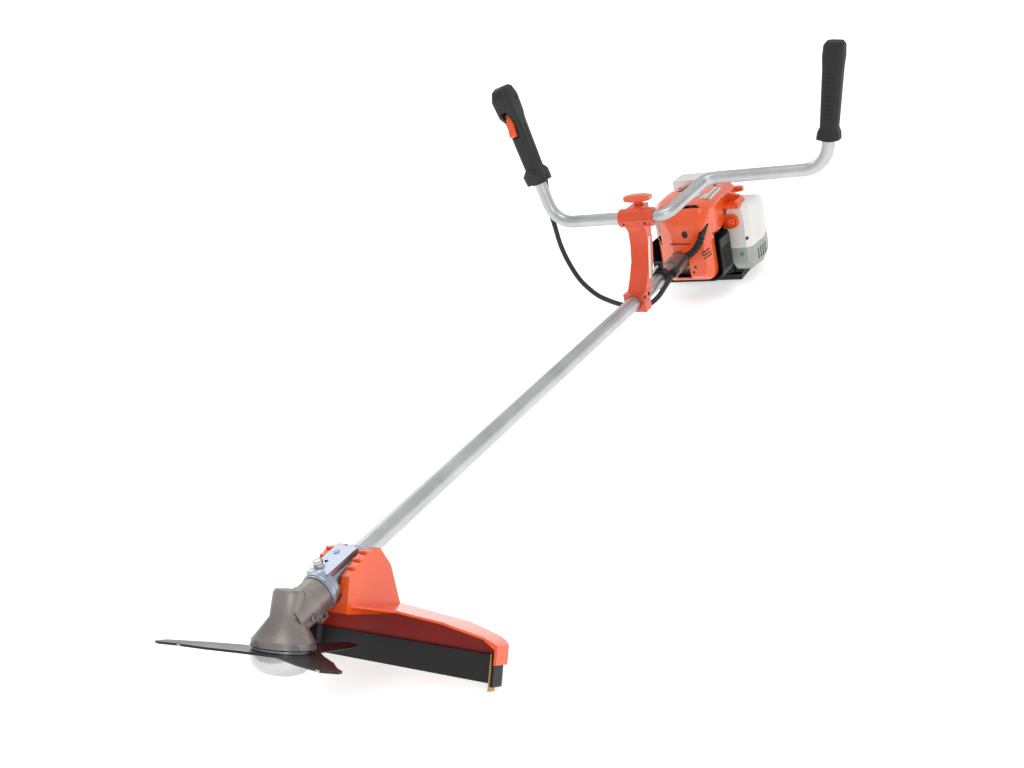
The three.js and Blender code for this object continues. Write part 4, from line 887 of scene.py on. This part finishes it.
# %% [markdown]
# ## Floor and light
# The floor is plain and pale, and it carries the machine's soft shadow. A wall of the same paint
# stands far off, where the floor ends in view. The paint glows a little, so that both stay white.
# Three broad lamps stand in for studio soft boxes: one overhead, one at the camera's side and one
# behind. The world is an even white, like a tent of cloth around the machine.

# %% Stage and lamps
FLOOR_SIZE = 300
low, high = cad_box
floor_finish = bpy.data.materials.new("floor_pale_paint")
floor_finish.use_nodes = True
floor_finish.node_tree.nodes["Principled BSDF"].inputs["Base Color"].default_value = colour("#F4F4F4")
floor_finish.node_tree.nodes["Principled BSDF"].inputs["Roughness"].default_value = 0.9
floor_finish.node_tree.nodes["Principled BSDF"].inputs["Emission Color"].default_value = (1, 1, 1, 1)
floor_finish.node_tree.nodes["Principled BSDF"].inputs["Emission Strength"].default_value = 0.5
bm = bmesh.new()
bmesh.ops.create_grid(
    bm, x_segments=1, y_segments=1, size=FLOOR_SIZE,
    matrix=Matrix.Translation((0, 0, low[2] - 0.0005)),
)
floor_mesh = bpy.data.meshes.new("floor")
bm.to_mesh(floor_mesh)
bm.free()
floor_mesh.materials.append(floor_finish)
floor = bpy.data.objects.new("floor", floor_mesh)
bpy.context.scene.collection.objects.link(floor)

WALL_AWAY, WALL_HALF = 250, 60
corner_ray = camera.matrix_world.to_3x3() @ Vector((-18, 13.5, -LENS_MM)).normalized()
bm = bmesh.new()
facing = corner_ray.to_track_quat("Z", "Y").to_matrix().to_4x4()
wall_place = Matrix.Translation(camera.matrix_world.translation + corner_ray * WALL_AWAY) @ facing
bmesh.ops.create_grid(bm, x_segments=1, y_segments=1, size=WALL_HALF, matrix=wall_place)
wall_mesh = bpy.data.meshes.new("backdrop")
bm.to_mesh(wall_mesh)
bm.free()
wall_mesh.materials.append(floor_finish)
wall = bpy.data.objects.new("backdrop", wall_mesh)
bpy.context.scene.collection.objects.link(wall)

world = bpy.data.worlds.new("studio")
world.use_nodes = True
world.node_tree.nodes["Background"].inputs[0].default_value = (1, 1, 1, 1)
world.node_tree.nodes["Background"].inputs[1].default_value = 0.76
bpy.context.scene.world = world

bpy.context.scene.view_settings.view_transform = "Standard"
MIDDLE = Vector((-0.75, -0.05, 0.25))


def lamp(name, at, size, watts):
    """A square soft box at a point, facing the machine."""
    data = bpy.data.lights.new(name, "AREA")
    data.size = size
    data.energy = watts
    obj = bpy.data.objects.new(name, data)
    obj.location = at
    obj.rotation_euler = (MIDDLE - Vector(at)).to_track_quat("-Z", "Y").to_euler()
    bpy.context.scene.collection.objects.link(obj)


lamp("overhead", (-0.8, -0.6, 3.2), 1.4, 14)
lamp("beside_camera", (-2.8, -2.6, 1.6), 1.0, 14)
lamp("behind", (0.8, 2.4, 2.4), 1.2, 12)
